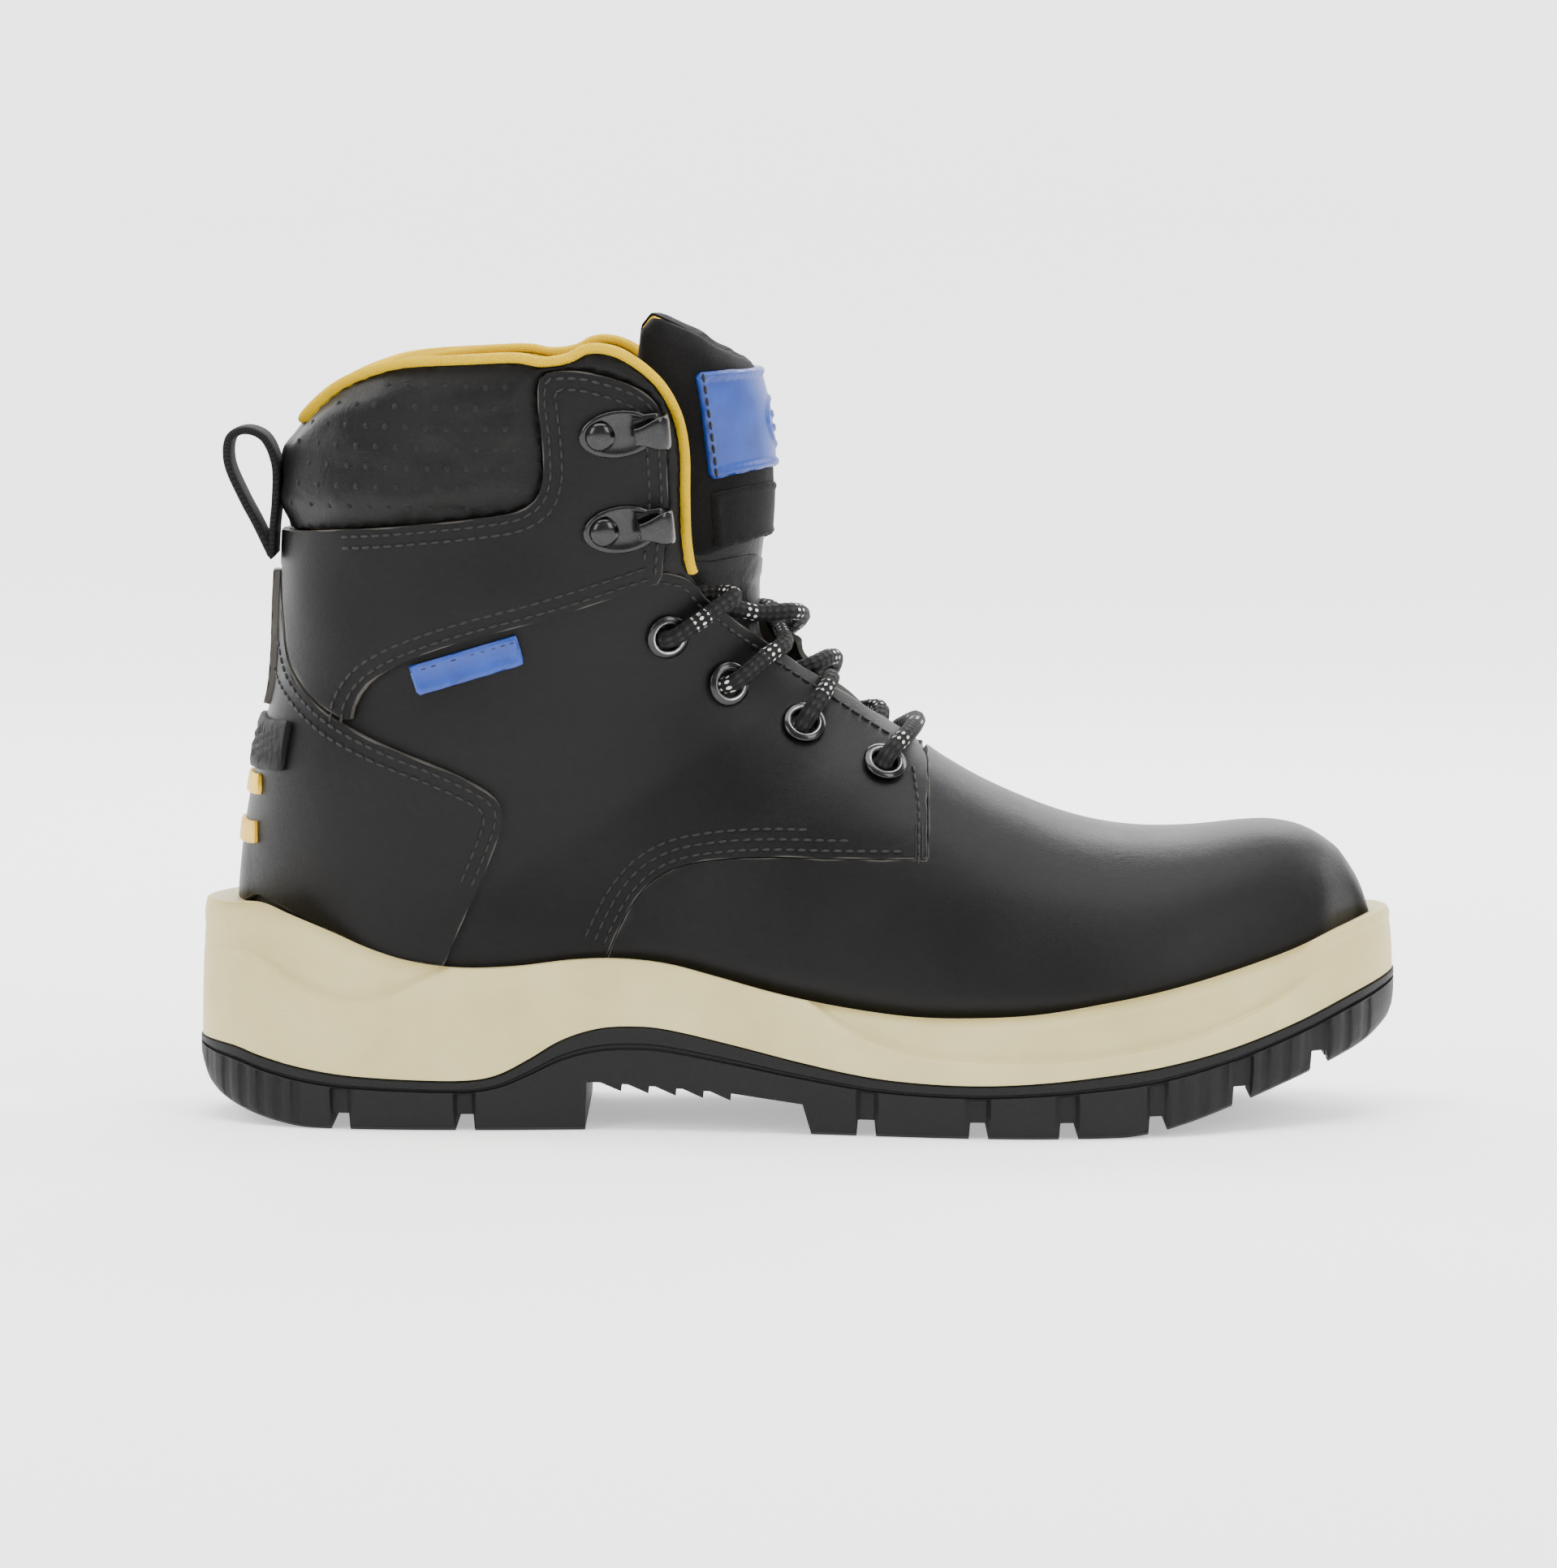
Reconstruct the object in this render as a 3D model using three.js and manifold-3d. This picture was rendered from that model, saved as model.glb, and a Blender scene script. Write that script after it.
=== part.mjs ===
// A lace-up leather safety boot for the right foot, with a steel toe cap.
// Millimetres, +Z up, toe towards +X, lateral (outer) side towards -Y.
// The origin is on the floor, under the middle of the boot's bounding box.
import * as THREE from "three";
import { mergeVertices } from "three/addons/utils/BufferGeometryUtils.js";
import Module from "manifold-3d";

const wasm = await Module();
wasm.setup();

// ---- Driving dimensions -------------------------------------------------------------------------

const SOLE_LENGTH = 307; // outsole, heel to toe
const COLLAR_HEIGHT = 196; // floor to the collar's edge over the ankle
const SOLE_WIDTH = 105; // outsole across the ball of the foot
const SHAFT_WIDTH = 78; // outside width of the shaft at the ankle

const LEATHER = 1.8; // upper leather
const CLEARANCE = 0.3; // between pieces that lie on each other
const STIFFENER = 1.8; // toe cap, heel stiffener and collar foam
const LINING = 1.2;
const TONGUE_PAD = 6; // padded upper half of the tongue
const TONGUE_LEATHER = 2.4; // lower half of the tongue

const EYELET_BORE = 3.4; // radius
const EYELET_WALL = 0.5;
const EYELET_FLANGE = 5.6; // radius
const EYELET_FLANGE_HEIGHT = 0.9;
const WASHER_RADIUS = 5;
const WASHER_THICKNESS = 0.7;

const HOOK_LENGTH = 23; // base plate of a lace hook
const HOOK_WIDTH = 12;
const HOOK_PLATE = 1;
const HOOK_GAP = 4.6; // room for the lace under the hook
const HOOK_METAL = 1.5;
const RIVET_HEAD = 3.6; // radius
const RIVET_SHANK = 1.5; // radius

const LACE_DIAMETER = 4.5;
const LACE_SIDES = 6;
const AGLET_LENGTH = 16;
const AGLET_RADIUS = 1.6;

const LOOP_STRAP = 2.4; // thickness of the pull loop's folded strap
const LOOP_WIDTH = 18;
const TAG_THICKNESS = 1.4;
const BADGE_THICKNESS = 2;
const BOARD = 1.7; // insole board
const FOOTBED = 4;
const PLATE = 1.3; // steel midsole plate
const GROOVE_WIDTH = 5; // between the tread lugs
const GROOVE_DEPTH = 4.2;

// Outlines are drawn for a 307 mm sole and a 196 mm collar, and graded to the sizes above.
const gradeX = SOLE_LENGTH / 307;
const gradeY = SOLE_WIDTH / 105;
const gradeZ = COLLAR_HEIGHT / 196;
const at = ([x, z]) => new THREE.Vector2(x * gradeX, z * gradeZ);

// ---- Small helpers ------------------------------------------------------------------------------

const clamp01 = (x) => Math.min(1, Math.max(0, x));
const mix = (a, b, t) => a + (b - a) * t;
const smooth = (from, to, x) => THREE.MathUtils.smoothstep(clamp01((x - from) / (to - from)), 0, 1);

// Points along a smooth line through a few chosen ones.
const flow = (points, count = points.length * 2) => new THREE.SplineCurve(points.map(at)).getPoints(count);

// A smooth function of one number through a few chosen [x, value] pairs, x rising.
function smoothFunction(pairs, scaleX, scaleValue) {
  const line = new THREE.SplineCurve(
    pairs.map(([x, v]) => new THREE.Vector2(x * scaleX, v * scaleValue)),
  ).getPoints(pairs.length * 8);
  return (x) => {
    let i = line.findIndex((p) => p.x > x);
    if (i < 0) return line.at(-1).y;
    if (i === 0) return line[0].y;
    const a = line[i - 1], b = line[i];
    return mix(a.y, b.y, (x - a.x) / (b.x - a.x));
  };
}

function solidOf(geometry) {
  const bare = geometry.index ? geometry.toNonIndexed() : geometry.clone();
  bare.deleteAttribute("normal");
  bare.deleteAttribute("uv");
  const merged = mergeVertices(bare, 1e-4);
  return new wasm.Manifold(
    new wasm.Mesh({
      numProp: 3,
      vertProperties: merged.attributes.position.array,
      triVerts: new Uint32Array(merged.index.array),
    }),
  );
}

function geometryOf(solid) {
  const mesh = solid.getMesh();
  const geometry = new THREE.BufferGeometry();
  const position = new Float32Array(mesh.numVert * 3);
  for (let i = 0; i < mesh.numVert; i++) {
    position.set(mesh.vertProperties.subarray(i * mesh.numProp, i * mesh.numProp + 3), i * 3);
  }
  geometry.setAttribute("position", new THREE.BufferAttribute(position, 3));
  geometry.setIndex(new THREE.BufferAttribute(new Uint32Array(mesh.triVerts), 1));
  return geometry;
}

// A closed solid through rings that have the same number of points, with a fan over each end.
function loft(rings) {
  const n = rings[0].length;
  const position = [];
  const index = [];
  for (const ring of rings) for (const p of ring) position.push(p.x, p.y, p.z);
  for (let i = 0; i + 1 < rings.length; i++) {
    for (let j = 0; j < n; j++) {
      const a = i * n + j, b = i * n + ((j + 1) % n);
      index.push(a, b, b + n, a, b + n, a + n);
    }
  }
  for (const [first, flip] of [[0, true], [(rings.length - 1) * n, false]]) {
    for (let j = 0; j < n / 2 - 1; j++) {
      const a = first + j, b = first + j + 1, c = first + n - 2 - j, d = first + n - 1 - j;
      const fan = b === c ? [a, b, d] : [a, b, c, a, c, d];
      if (flip) fan.reverse();
      index.push(...fan);
    }
  }
  const geometry = new THREE.BufferGeometry();
  geometry.setAttribute("position", new THREE.Float32BufferAttribute(position, 3));
  geometry.setIndex(index);
  const made = solidOf(geometry);
  if (made.volume() > 0) return made;
  for (let i = 0; i < index.length; i += 3) [index[i], index[i + 1]] = [index[i + 1], index[i]];
  geometry.setIndex(index);
  return solidOf(geometry);
}

// A side-view outline pushed through the boot from y = low to y = high.
function prism(outline, low = -100, high = 100) {
  const corners = outline.filter((p, i) => p.distanceTo(outline.at(i - 1)) > 0.02);
  const geometry = new THREE.ExtrudeGeometry(new THREE.Shape(corners), {
    depth: high - low,
    bevelEnabled: false,
    steps: 1,
  });
  geometry.rotateX(Math.PI / 2);
  geometry.translate(0, high, 0);
  return solidOf(geometry);
}

// ---- The sole's plan and levels -----------------------------------------------------------------

const halfSole = SOLE_LENGTH / 2;
const baseHalfWidth = smoothFunction(
  [[-154, 37], [-115, 38.7], [-77, 37.8], [-43, 36], [0, 41], [38, 49.5], [64, 52.5], [92, 51], [123, 42.5], [154, 35]],
  gradeX, gradeY,
);
const centreLine = smoothFunction(
  [[-154, 2], [-100, 2], [-40, 0.5], [0, -1.5], [50, -0.5], [100, 3], [154, 6]], gradeX, gradeY,
);
const roundEnd = (x) => Math.sqrt(clamp01(1 - Math.abs(x / halfSole) ** 7));
const soleHalfWidth = (x, inset) => {
  const stretched = x * halfSole / (halfSole - inset);
  return Math.max(0.2, baseHalfWidth(x) * roundEnd(stretched) - inset * roundEnd(stretched));
};

const seatLevel = smoothFunction( // underside of the insole board
  [[-154, 29], [-120, 27], [-85, 27], [-60, 31], [-40, 32.5], [-20, 29.5], [0, 26], [30, 22], [60, 22], [90, 25.5],
    [120, 33], [154, 43]],
  gradeX, gradeZ,
);
const featherLevel = smoothFunction( // top edge of the midsole
  [[-154, 55.5], [-144, 55.8], [-136, 56.4], [-128, 53.6], [-118, 49.8], [-108, 45.6], [-98, 42.6], [-86, 41], [-72, 41.3],
    [-57, 42.9], [-45, 43.2], [-33, 42], [-21, 39.1], [-5, 35], [11, 32], [28, 30.1], [44, 30], [60, 31], [76, 33.5],
    [92, 36.5], [109, 40.6], [125, 45.2], [137, 49.8], [147, 52.4], [154, 53]],
  gradeX, gradeZ,
);
const soleJoint = smoothFunction( // between midsole and outsole
  [[-154, 20.5], [-144, 19.8], [-136, 17.6], [-126, 15.3], [-114, 13.6], [-98, 12.7], [-84, 12.6], [-76, 14], [-68, 18],
    [-60, 22.7], [-51, 25.6], [-42, 26.3], [-33, 25.6], [-17, 22.2], [0, 18.2], [15, 15.2], [28, 13.8], [44, 13.3],
    [60, 14], [76, 15.6], [92, 17.8], [109, 21.5], [125, 26.6], [141, 33], [154, 37.5]],
  gradeX, gradeZ,
);
const treadCurve = smoothFunction( // ground side of the outsole, before the arch is cut
  [[-154, 13.5], [-150, 8.5], [-146, 5.8], [-139, 3], [-131, 1], [-122, 0], [-100, 0], [0, 0], [70, 0], [86, 0.6],
    [97, 3], [109, 6.8], [121, 11], [133, 15.5], [145, 20.5], [154, 26.5]],
  gradeX, gradeZ,
);
const treadLevel = (x) => Math.max(0, treadCurve(x));

const PLAN_POINTS = 52; // even, so that each station has a lateral and a medial point
// One closed ring of the sole at a level that depends on x; lateral side first, from heel to toe.
function soleRing(level, inset) {
  const reach = halfSole - inset;
  const ring = [];
  const stations = PLAN_POINTS / 2;
  const point = (k, side) => {
    const x = -reach * Math.cos((Math.PI * k) / (stations - 1));
    return new THREE.Vector3(x, centreLine(x) + side * soleHalfWidth(x, inset), level(x));
  };
  for (let k = 0; k < stations; k++) ring.push(point(k, -1));
  for (let k = stations - 1; k >= 0; k--) ring.push(point(k, 1));
  return ring;
}

// ---- The last: the form that the upper is pulled over -------------------------------------------
// Zero is the outside of the base leather. The form is swept by half-planes that fan out from a pivot
// in front of the ankle: each meets the ridge (toe, instep, front of shaft) and the base (sole edge,
// heel, back of shaft) once.

const fanPivot = at([107, 175]);
const ridgeLine = flow([
  [146.6, 46], [147.3, 52], [145.6, 58], [142, 64], [137, 69], [130, 73.3], [122, 75.2], [113.6, 75], [105, 74], [97, 73.4],
  [88.7, 73.4], [80.3, 74.3], [72, 76], [63.7, 78.6], [55.4, 82], [47, 86], [40, 90], [33, 94.5], [24.5, 101.5], [16, 108.5],
  [8, 114.5], [2, 120], [-1, 128], [0, 138], [1.5, 150], [2, 163], [1, 178], [-2, 192], [-7, 206], [-14, 222],
], 150);
const backLine = [ // from the seat up the heel to the top
  [-141.8, 46], [-142.3, 54.5], [-141.3, 65], [-140.2, 73.5], [-138.9, 81.5], [-137.4, 89], [-135.7, 96], [-134, 102.5],
  [-132.4, 109], [-131.4, 119], [-130.9, 131], [-130.2, 142], [-129.8, 152], [-129.2, 160.5], [-128.2, 168.5],
  [-126.2, 177], [-123, 186], [-119, 196], [-114, 208], [-108, 222],
];
const seatLine = [ // just under the seat
  144, 132, 120, 105, 90, 75, 60, 45, 30, 15, 0, -15, -30, -45, -60, -75, -90, -105, -118, -128, -135,
]
  .map((x) => [x, seatLevel(x * gradeX) / gradeZ - 3]);
const baseLine = flow([[146.2, 42], ...seatLine, [-139.5, 33], ...backLine], 260);
const backAt = smoothFunction(backLine.map(([x, z]) => [z, x]), gradeZ, gradeX);

const fanAngle = (p) => Math.atan2(p.x - fanPivot.x, fanPivot.y - p.y); // 0 is straight down, + to the toe
// Where the fan's half-plane at an angle meets a line, found once and interpolated.
function fanCrossing(line) {
  const rows = line.map((p) => [fanAngle(p), p]).sort((a, b) => a[0] - b[0]);
  return (angle) => {
    let i = rows.findIndex(([a]) => a > angle);
    i = i < 0 ? rows.length - 1 : Math.max(1, i);
    const [a0, p0] = rows[i - 1], [a1, p1] = rows[i];
    return p0.clone().lerp(p1, clamp01((angle - a0) / (a1 - a0)));
  };
}
const ridgeAt = fanCrossing(ridgeLine);
const baseAt = fanCrossing(baseLine);
const toeAngle = Math.min(fanAngle(ridgeLine[0]), fanAngle(baseLine[0]));
const topAngle = THREE.MathUtils.degToRad(-103);

const shaftHalfWidth = smoothFunction(
  [[60, 0.93], [90, 0.94], [115, 0.96], [140, 1], [165, 1.04], [185, 1.09], [200, 1.1], [225, 1.1]],
  gradeZ, SHAFT_WIDTH / 2,
);
const ridgeLean = smoothFunction( // how far the instep's ridge leans to the medial side, by fan angle
  [[-105, 0], [-92, 0], [-80, 3], [-68, 8], [-58, 12], [-48, 9], [-38, 5], [-25, 2], [0, 0], [20, 0]],
  Math.PI / 180, gradeY,
);
const UPPER_INSET = 4.5; // from the sole's edge to the upper
const HEEL_ROUND = 40 * gradeY;

// Half width of the form at a place in the side view. along runs from the ridge (0) to the base (1).
function halfWidth(p, along, angle, rayLength) {
  const x = THREE.MathUtils.clamp(p.x, -halfSole * 0.9, halfSole - 7.6 * gradeX);
  const foot = (soleHalfWidth(x, 0) - UPPER_INSET) * Math.sqrt(clamp01((147.6 * gradeX - p.x) / (14 * gradeX)));
  const raised = smooth(55 * gradeZ, 105 * gradeZ, p.y) * (1 - smooth(-20 * gradeX, 30 * gradeX, p.x));
  const widest = mix(foot, shaftHalfWidth(p.y), raised);
  const up = smooth(-1.75, -0.7, angle); // 0 in the shaft, 1 in the forefoot
  const reach = mix(0.42, 0.86, up) * rayLength;
  const fromRidge = clamp01((along * rayLength) / reach);
  const ridgeRound = (1 - (1 - fromRidge) ** 2) ** mix(0.5, 0.42, up);
  const fromBack = clamp01((p.x - backAt(p.y)) / HEEL_ROUND);
  const backRound = Math.sqrt(1 - (1 - fromBack) ** 2);
  const tuck = mix(0.9, 1, smooth(0, 14 * gradeZ, p.y - seatLevel(p.x)));
  return Math.max(0.15, widest * ridgeRound * backRound * tuck);
}

const heelCorner = fanAngle(at([-141.9, 47])); // planes beyond this one meet the back, not the seat

// A point of the form: angle of the half-plane, and u from -1 (lateral base) over 0 (ridge) to 1 (medial base).
function formPoint(angle, u) {
  const top = ridgeAt(angle), base = baseAt(angle);
  const along = (1 - Math.cos(Math.PI * Math.abs(u))) / 2;
  const p = top.clone().lerp(base, along);
  const w = halfWidth(p, along, angle, top.distanceTo(base));
  const lean = ridgeLean(angle) * (1 - clamp01(w / (38 * gradeY)));
  return new THREE.Vector3(p.x, centreLine(p.x) + lean + Math.sign(u) * w, p.y);
}

function formNormal(angle, u) {
  const side = u < 0 ? -1 : 1;
  const v = side * THREE.MathUtils.clamp(Math.abs(u), 0, 0.96);
  const da = 0.012, du = 0.02;
  const a = THREE.MathUtils.clamp(angle, topAngle, toeAngle - 0.02);
  const alongFan = formPoint(a + da, v).sub(formPoint(a - da, v));
  const across = formPoint(a, v + du).sub(formPoint(a, v - du));
  const n = alongFan.cross(across).normalize();
  if (Math.abs(u) > 0.97) {
    if (angle < heelCorner) n.y = 0;
    else n.z = 0;
    n.normalize();
  }
  return n;
}

const FAN_STEPS = 22;
const ROUND_STEPS = 8; // on each side of the ridge
// The whole form as a solid, with its skin moved out (or in) by a distance.
function form(offset) {
  const rings = [];
  for (let i = 0; i <= FAN_STEPS; i++) {
    const share = i / FAN_STEPS;
    const angle = mix(toeAngle - 0.004, topAngle, mix(share ** 1.5, share, 0.5));
    const ring = [];
    for (let j = -ROUND_STEPS; j <= ROUND_STEPS; j++) {
      const u = j / ROUND_STEPS;
      ring.push(formPoint(angle, u).addScaledVector(formNormal(angle, u), offset));
    }
    ring.push(ring.at(-1).clone().lerp(ring[0], 0.5)); // middle of the sole side, so that the ring is even
    rings.push(ring);
  }
  return loft(rings);
}

// The form's point and outward direction at a place in the side view.
function placeOn(place, side) {
  const p = at(place);
  const angle = fanAngle(p);
  const top = ridgeAt(angle), base = baseAt(angle);
  const along = clamp01(top.distanceTo(p) / top.distanceTo(base));
  const u = (side * Math.acos(1 - 2 * along)) / Math.PI;
  return { point: formPoint(angle, u), normal: formNormal(angle, u) };
}

const forms = new Map();
function formAt(offset) {
  if (!forms.has(offset)) forms.set(offset, form(offset));
  return forms.get(offset);
}

// Levels through the upper's wall, measured outwards from the base leather's face.
const level = {
  base: [-LEATHER, 0],
  overlay: [CLEARANCE, CLEARANCE + LEATHER],
  stiffener: [-LEATHER - CLEARANCE - STIFFENER, -LEATHER - CLEARANCE],
};
level.lining = [level.stiffener[0] - CLEARANCE - LINING, level.stiffener[0] - CLEARANCE];
const SEAT = 1.1; // what a flat washer or flange stands off the curved leather
const washerTop = level.base[0] - CLEARANCE - SEAT;
const tongueFace = washerTop - WASHER_THICKNESS - LACE_DIAMETER - 2 * CLEARANCE; // the lace crosses above it
level.tongue = [tongueFace - TONGUE_LEATHER, tongueFace];
level.pad = [tongueFace - TONGUE_PAD, tongueFace];
level.tongueLining = [level.pad[0] - CLEARANCE - LINING, level.pad[0] - CLEARANCE];
level.gusset = [tongueFace + CLEARANCE, level.lining[0] - CLEARANCE];

// What lies between two heights over the seat, all the way across the boot.
function seatLayer(bottom, top) {
  const steps = 44;
  const low = [], high = [];
  for (let i = 0; i <= steps; i++) {
    const x = mix(-165, 165, i / steps) * gradeX;
    low.push(new THREE.Vector2(x, seatLevel(x) + bottom));
    high.unshift(new THREE.Vector2(x, seatLevel(x) + top));
  }
  return prism([...low, ...high]);
}
const aboveSeat = seatLayer(CLEARANCE, 300);

// A panel of the upper: the wall between two levels, cut to a side-view outline.
function panel([inner, outer], outline, low = -100, high = 100) {
  return formAt(outer).subtract(formAt(inner)).intersect(prism(outline, low, high)).intersect(aboveSeat);
}

// The largest piece, because a cut may leave crumbs at the outline's ends.
function largest(solid) {
  return solid.decompose().reduce((a, b) => (b.volume() > a.volume() ? b : a));
}

// ---- Outlines in the side view ------------------------------------------------------------------

const vampSeam = flow([[-48.6, 43], [-46, 49.4], [-42.2, 56.6], [-37, 62.7], [-30, 66.5], [-20, 68.4], [-8, 69.2], [10, 69], [32.4, 69]], 22);
const vampFront = [at([32.8, 83]), at([33.4, 110])];
const facingEdge = flow([[-23.2, 134], [-19.7, 131.2], [-13, 125.7], [-6, 120.6], [2, 114.8], [10, 109.8], [18.7, 104.2], [25, 100.2], [30, 96.7], [32.5, 93]], 18);
const facingEdgeMedial = flow([[-23.2, 135.5], [-14, 130], [-6, 125], [1, 121.5], [8, 117.2], [16, 111.8], [24.5, 105.2], [31, 99.5], [32.5, 93]], 18);
const tabTop = flow([[-34.7, 140.2], [-32.4, 140.6], [-27, 138.6], [-23.2, 134]], 8);
const hookPanelTop = flow([
  [-63.4, 166], [-63.8, 175], [-64.8, 185], [-63.5, 190.6], [-56, 191.7], [-49.5, 190.6], [-42.5, 188.4], [-38, 186],
  [-35.2, 182.6], [-33.9, 177], [-33.3, 168], [-33.1, 158], [-34.2, 147], [-34.7, 140.2],
], 36);
const cuffSeam = flow([[-140, 150.4], [-128, 150.8], [-110, 151.8], [-92.5, 153.4], [-76.4, 155.2], [-69.5, 156.8], [-65, 160.2], [-63.4, 166]], 18);
const yokeLower = flow([[-34.7, 138.9], [-45, 135.6], [-57, 131.6], [-69, 128], [-81, 124.8], [-92.5, 121.2], [-101.7, 117], [-108, 112.2], [-111.4, 106.5], [-111.9, 103.2]], 20);
const counterEdge = flow([
  [-130.2, 140], [-129.5, 129], [-128.6, 120.5], [-126.6, 114], [-122.7, 109], [-117.8, 104.8], [-111.6, 101.2], [-101.9, 96.8],
  [-91.4, 92.6], [-83.4, 88.9], [-77, 84.9], [-74.6, 80.6], [-75.3, 75.5], [-79, 65.5], [-84.7, 52.4], [-89.2, 42.4],
], 34);
const collarEdge = flow([
  [-127, 178.5], [-122, 183.6], [-115.5, 188.6], [-107.4, 192.2], [-97.9, 194.6], [-80, 195.6], [-70, 195.9], [-63.8, 194.9],
  [-57.9, 195.7], [-53.3, 198], [-48.6, 198.2], [-44, 196.9], [-38.9, 193.9], [-34, 189.5], [-30.4, 183.8], [-28.2, 177.5],
  [-27.2, 170], [-27.2, 161], [-27, 151], [-26.2, 144], [-25.4, 141.2],
], 60);

// A side-view line moved sideways; positive is to the left of its direction.
function shifted(line, distance) {
  return line.map((p, i) => {
    const a = line[Math.max(0, i - 1)], b = line[Math.min(line.length - 1, i + 1)];
    const d = b.clone().sub(a).normalize();
    return new THREE.Vector2(p.x - d.y * distance, p.y + d.x * distance);
  });
}

const BINDING = 2.2; // width of the collar's yellow edge
const boot = new THREE.Group();
const finish = {
  leather: new THREE.MeshStandardMaterial({ color: 0x1f1e1d, roughness: 0.55, metalness: 0 }),
  suede: new THREE.MeshStandardMaterial({ color: 0x131210, roughness: 0.95, metalness: 0 }),
  yellow: new THREE.MeshStandardMaterial({ color: 0xffd21a, roughness: 0.85, metalness: 0 }),
  cream: new THREE.MeshStandardMaterial({ color: 0xcfcaae, roughness: 0.6, metalness: 0 }),
  rubber: new THREE.MeshStandardMaterial({ color: 0x1c1c1c, roughness: 0.7, metalness: 0 }),
  blackMetal: new THREE.MeshStandardMaterial({ color: 0x101010, roughness: 0.25, metalness: 0.6 }),
  steel: new THREE.MeshStandardMaterial({ color: 0x9a9a98, roughness: 0.4, metalness: 1 }),
  board: new THREE.MeshStandardMaterial({ color: 0xb8a888, roughness: 0.9, metalness: 0 }),
  foam: new THREE.MeshStandardMaterial({ color: 0xd8d4c8, roughness: 1, metalness: 0 }),
  blue: new THREE.MeshStandardMaterial({ color: 0x1f4fa3, roughness: 0.45, metalness: 0 }),
  lace: new THREE.MeshStandardMaterial({ color: 0x161616, roughness: 0.85, metalness: 0 }),
};

function add(name, solid, material) {
  const mesh = new THREE.Mesh(geometryOf(largest(solid.simplify(0.06))), material);
  mesh.name = name;
  boot.add(mesh);
}

// ---- Outsole: rubber, with a cut arch and tread lugs --------------------------------------------

const HEEL_BREAST = -54 * gradeX;
const TREAD_FRONT = 3 * gradeX;
const ARCH_TEETH = 5;
const TOOTH_PITCH = 6.9 * gradeX;
const TOOTH_HEIGHT = 2.2;

function archCut() {
  const outline = [new THREE.Vector2(HEEL_BREAST, -5), new THREE.Vector2(HEEL_BREAST + 0.6, 12.4 * gradeZ)];
  for (let i = 0; i < ARCH_TEETH; i++) {
    const x = HEEL_BREAST + (i + 0.6) * TOOTH_PITCH;
    const root = (12.3 - 0.45 * i) * gradeZ;
    outline.push(new THREE.Vector2(x, root), new THREE.Vector2(x + TOOTH_PITCH * 0.75, root - TOOTH_HEIGHT));
    outline.push(new THREE.Vector2(x + TOOTH_PITCH * 0.78, root - 0.4));
  }
  outline.push(new THREE.Vector2(TREAD_FRONT - 2, 7.8 * gradeZ), new THREE.Vector2(TREAD_FRONT, 1), new THREE.Vector2(TREAD_FRONT + 1, -5));
  return prism(outline);
}

// Cross grooves where the side view shows notches, and two grooves along each tread block.
const crossGrooves = [-115.5, -84, 17, 45, 67.5, 90, 111.5, 132].map((x) => x * gradeX);
const longGrooves = [
  { from: -135, to: -62, y: 2 },
  { from: 12, to: 138, y: -14 },
  { from: 12, to: 138, y: 16 },
];

function groovedOutsole() {
  const chamfer = 2.5, wallInset = 0.8;
  let solid = loft([
    soleRing((x) => treadLevel(x), chamfer),
    soleRing((x) => treadLevel(x) + chamfer, 0.4),
    soleRing((x) => soleJoint(x) * 0.6 + treadLevel(x) * 0.4, 0),
    soleRing((x) => soleJoint(x), wallInset),
  ]).subtract(archCut());
  for (const x of crossGrooves) {
    const floor = treadLevel(x);
    solid = solid.subtract(prism([
      new THREE.Vector2(x - GROOVE_WIDTH * 0.55, floor - 4), new THREE.Vector2(x + GROOVE_WIDTH * 0.55, floor - 4),
      new THREE.Vector2(x + GROOVE_WIDTH * 0.42, floor + GROOVE_DEPTH), new THREE.Vector2(x - GROOVE_WIDTH * 0.42, floor + GROOVE_DEPTH),
    ]));
  }
  for (const groove of longGrooves) {
    const steps = 6;
    const low = [], high = [];
    for (let i = 0; i <= steps; i++) {
      const x = mix(groove.from, groove.to, i / steps) * gradeX;
      low.push(new THREE.Vector2(x, treadLevel(x) - 3));
      high.unshift(new THREE.Vector2(x, treadLevel(x) + GROOVE_DEPTH - 0.8));
    }
    const y = groove.y * gradeY;
    solid = solid.subtract(prism([...low, ...high], y - GROOVE_WIDTH / 2, y + GROOVE_WIDTH / 2));
  }
  return largest(solid);
}
add("outsole", groovedOutsole(), finish.rubber);

// ---- Midsole: moulded polyurethane that wraps the foot of the upper -----------------------------

const PLATE_INSET = 13;
function plateSlab(bottom, top, inset) {
  const lower = soleRing((x) => seatLevel(x) + bottom, inset);
  const upper = soleRing((x) => seatLevel(x) + top, inset);
  return loft([lower, upper]);
}

function midsole() {
  const block = loft([
    soleRing((x) => soleJoint(x) + CLEARANCE, 0.6),
    soleRing((x) => mix(soleJoint(x), featherLevel(x), 0.35), 0),
    soleRing((x) => mix(soleJoint(x), featherLevel(x), 0.8), 1.2),
    soleRing((x) => featherLevel(x) - 0.6, 2.2),
    soleRing((x) => featherLevel(x), 3),
  ]);
  const pocket = plateSlab(-PLATE - 2 * CLEARANCE, 4, PLATE_INSET - CLEARANCE);
  const recess = formAt(CLEARANCE).intersect(seatLayer(0, 300));
  return largest(block.subtract(recess).subtract(pocket));
}
add("midsole", midsole(), finish.cream);
add("midsole_plate", plateSlab(-PLATE - CLEARANCE, -CLEARANCE, PLATE_INSET), finish.steel);

// ---- Inside the shoe: board, footbed, toe cap, heel stiffener, linings --------------------------

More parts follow.
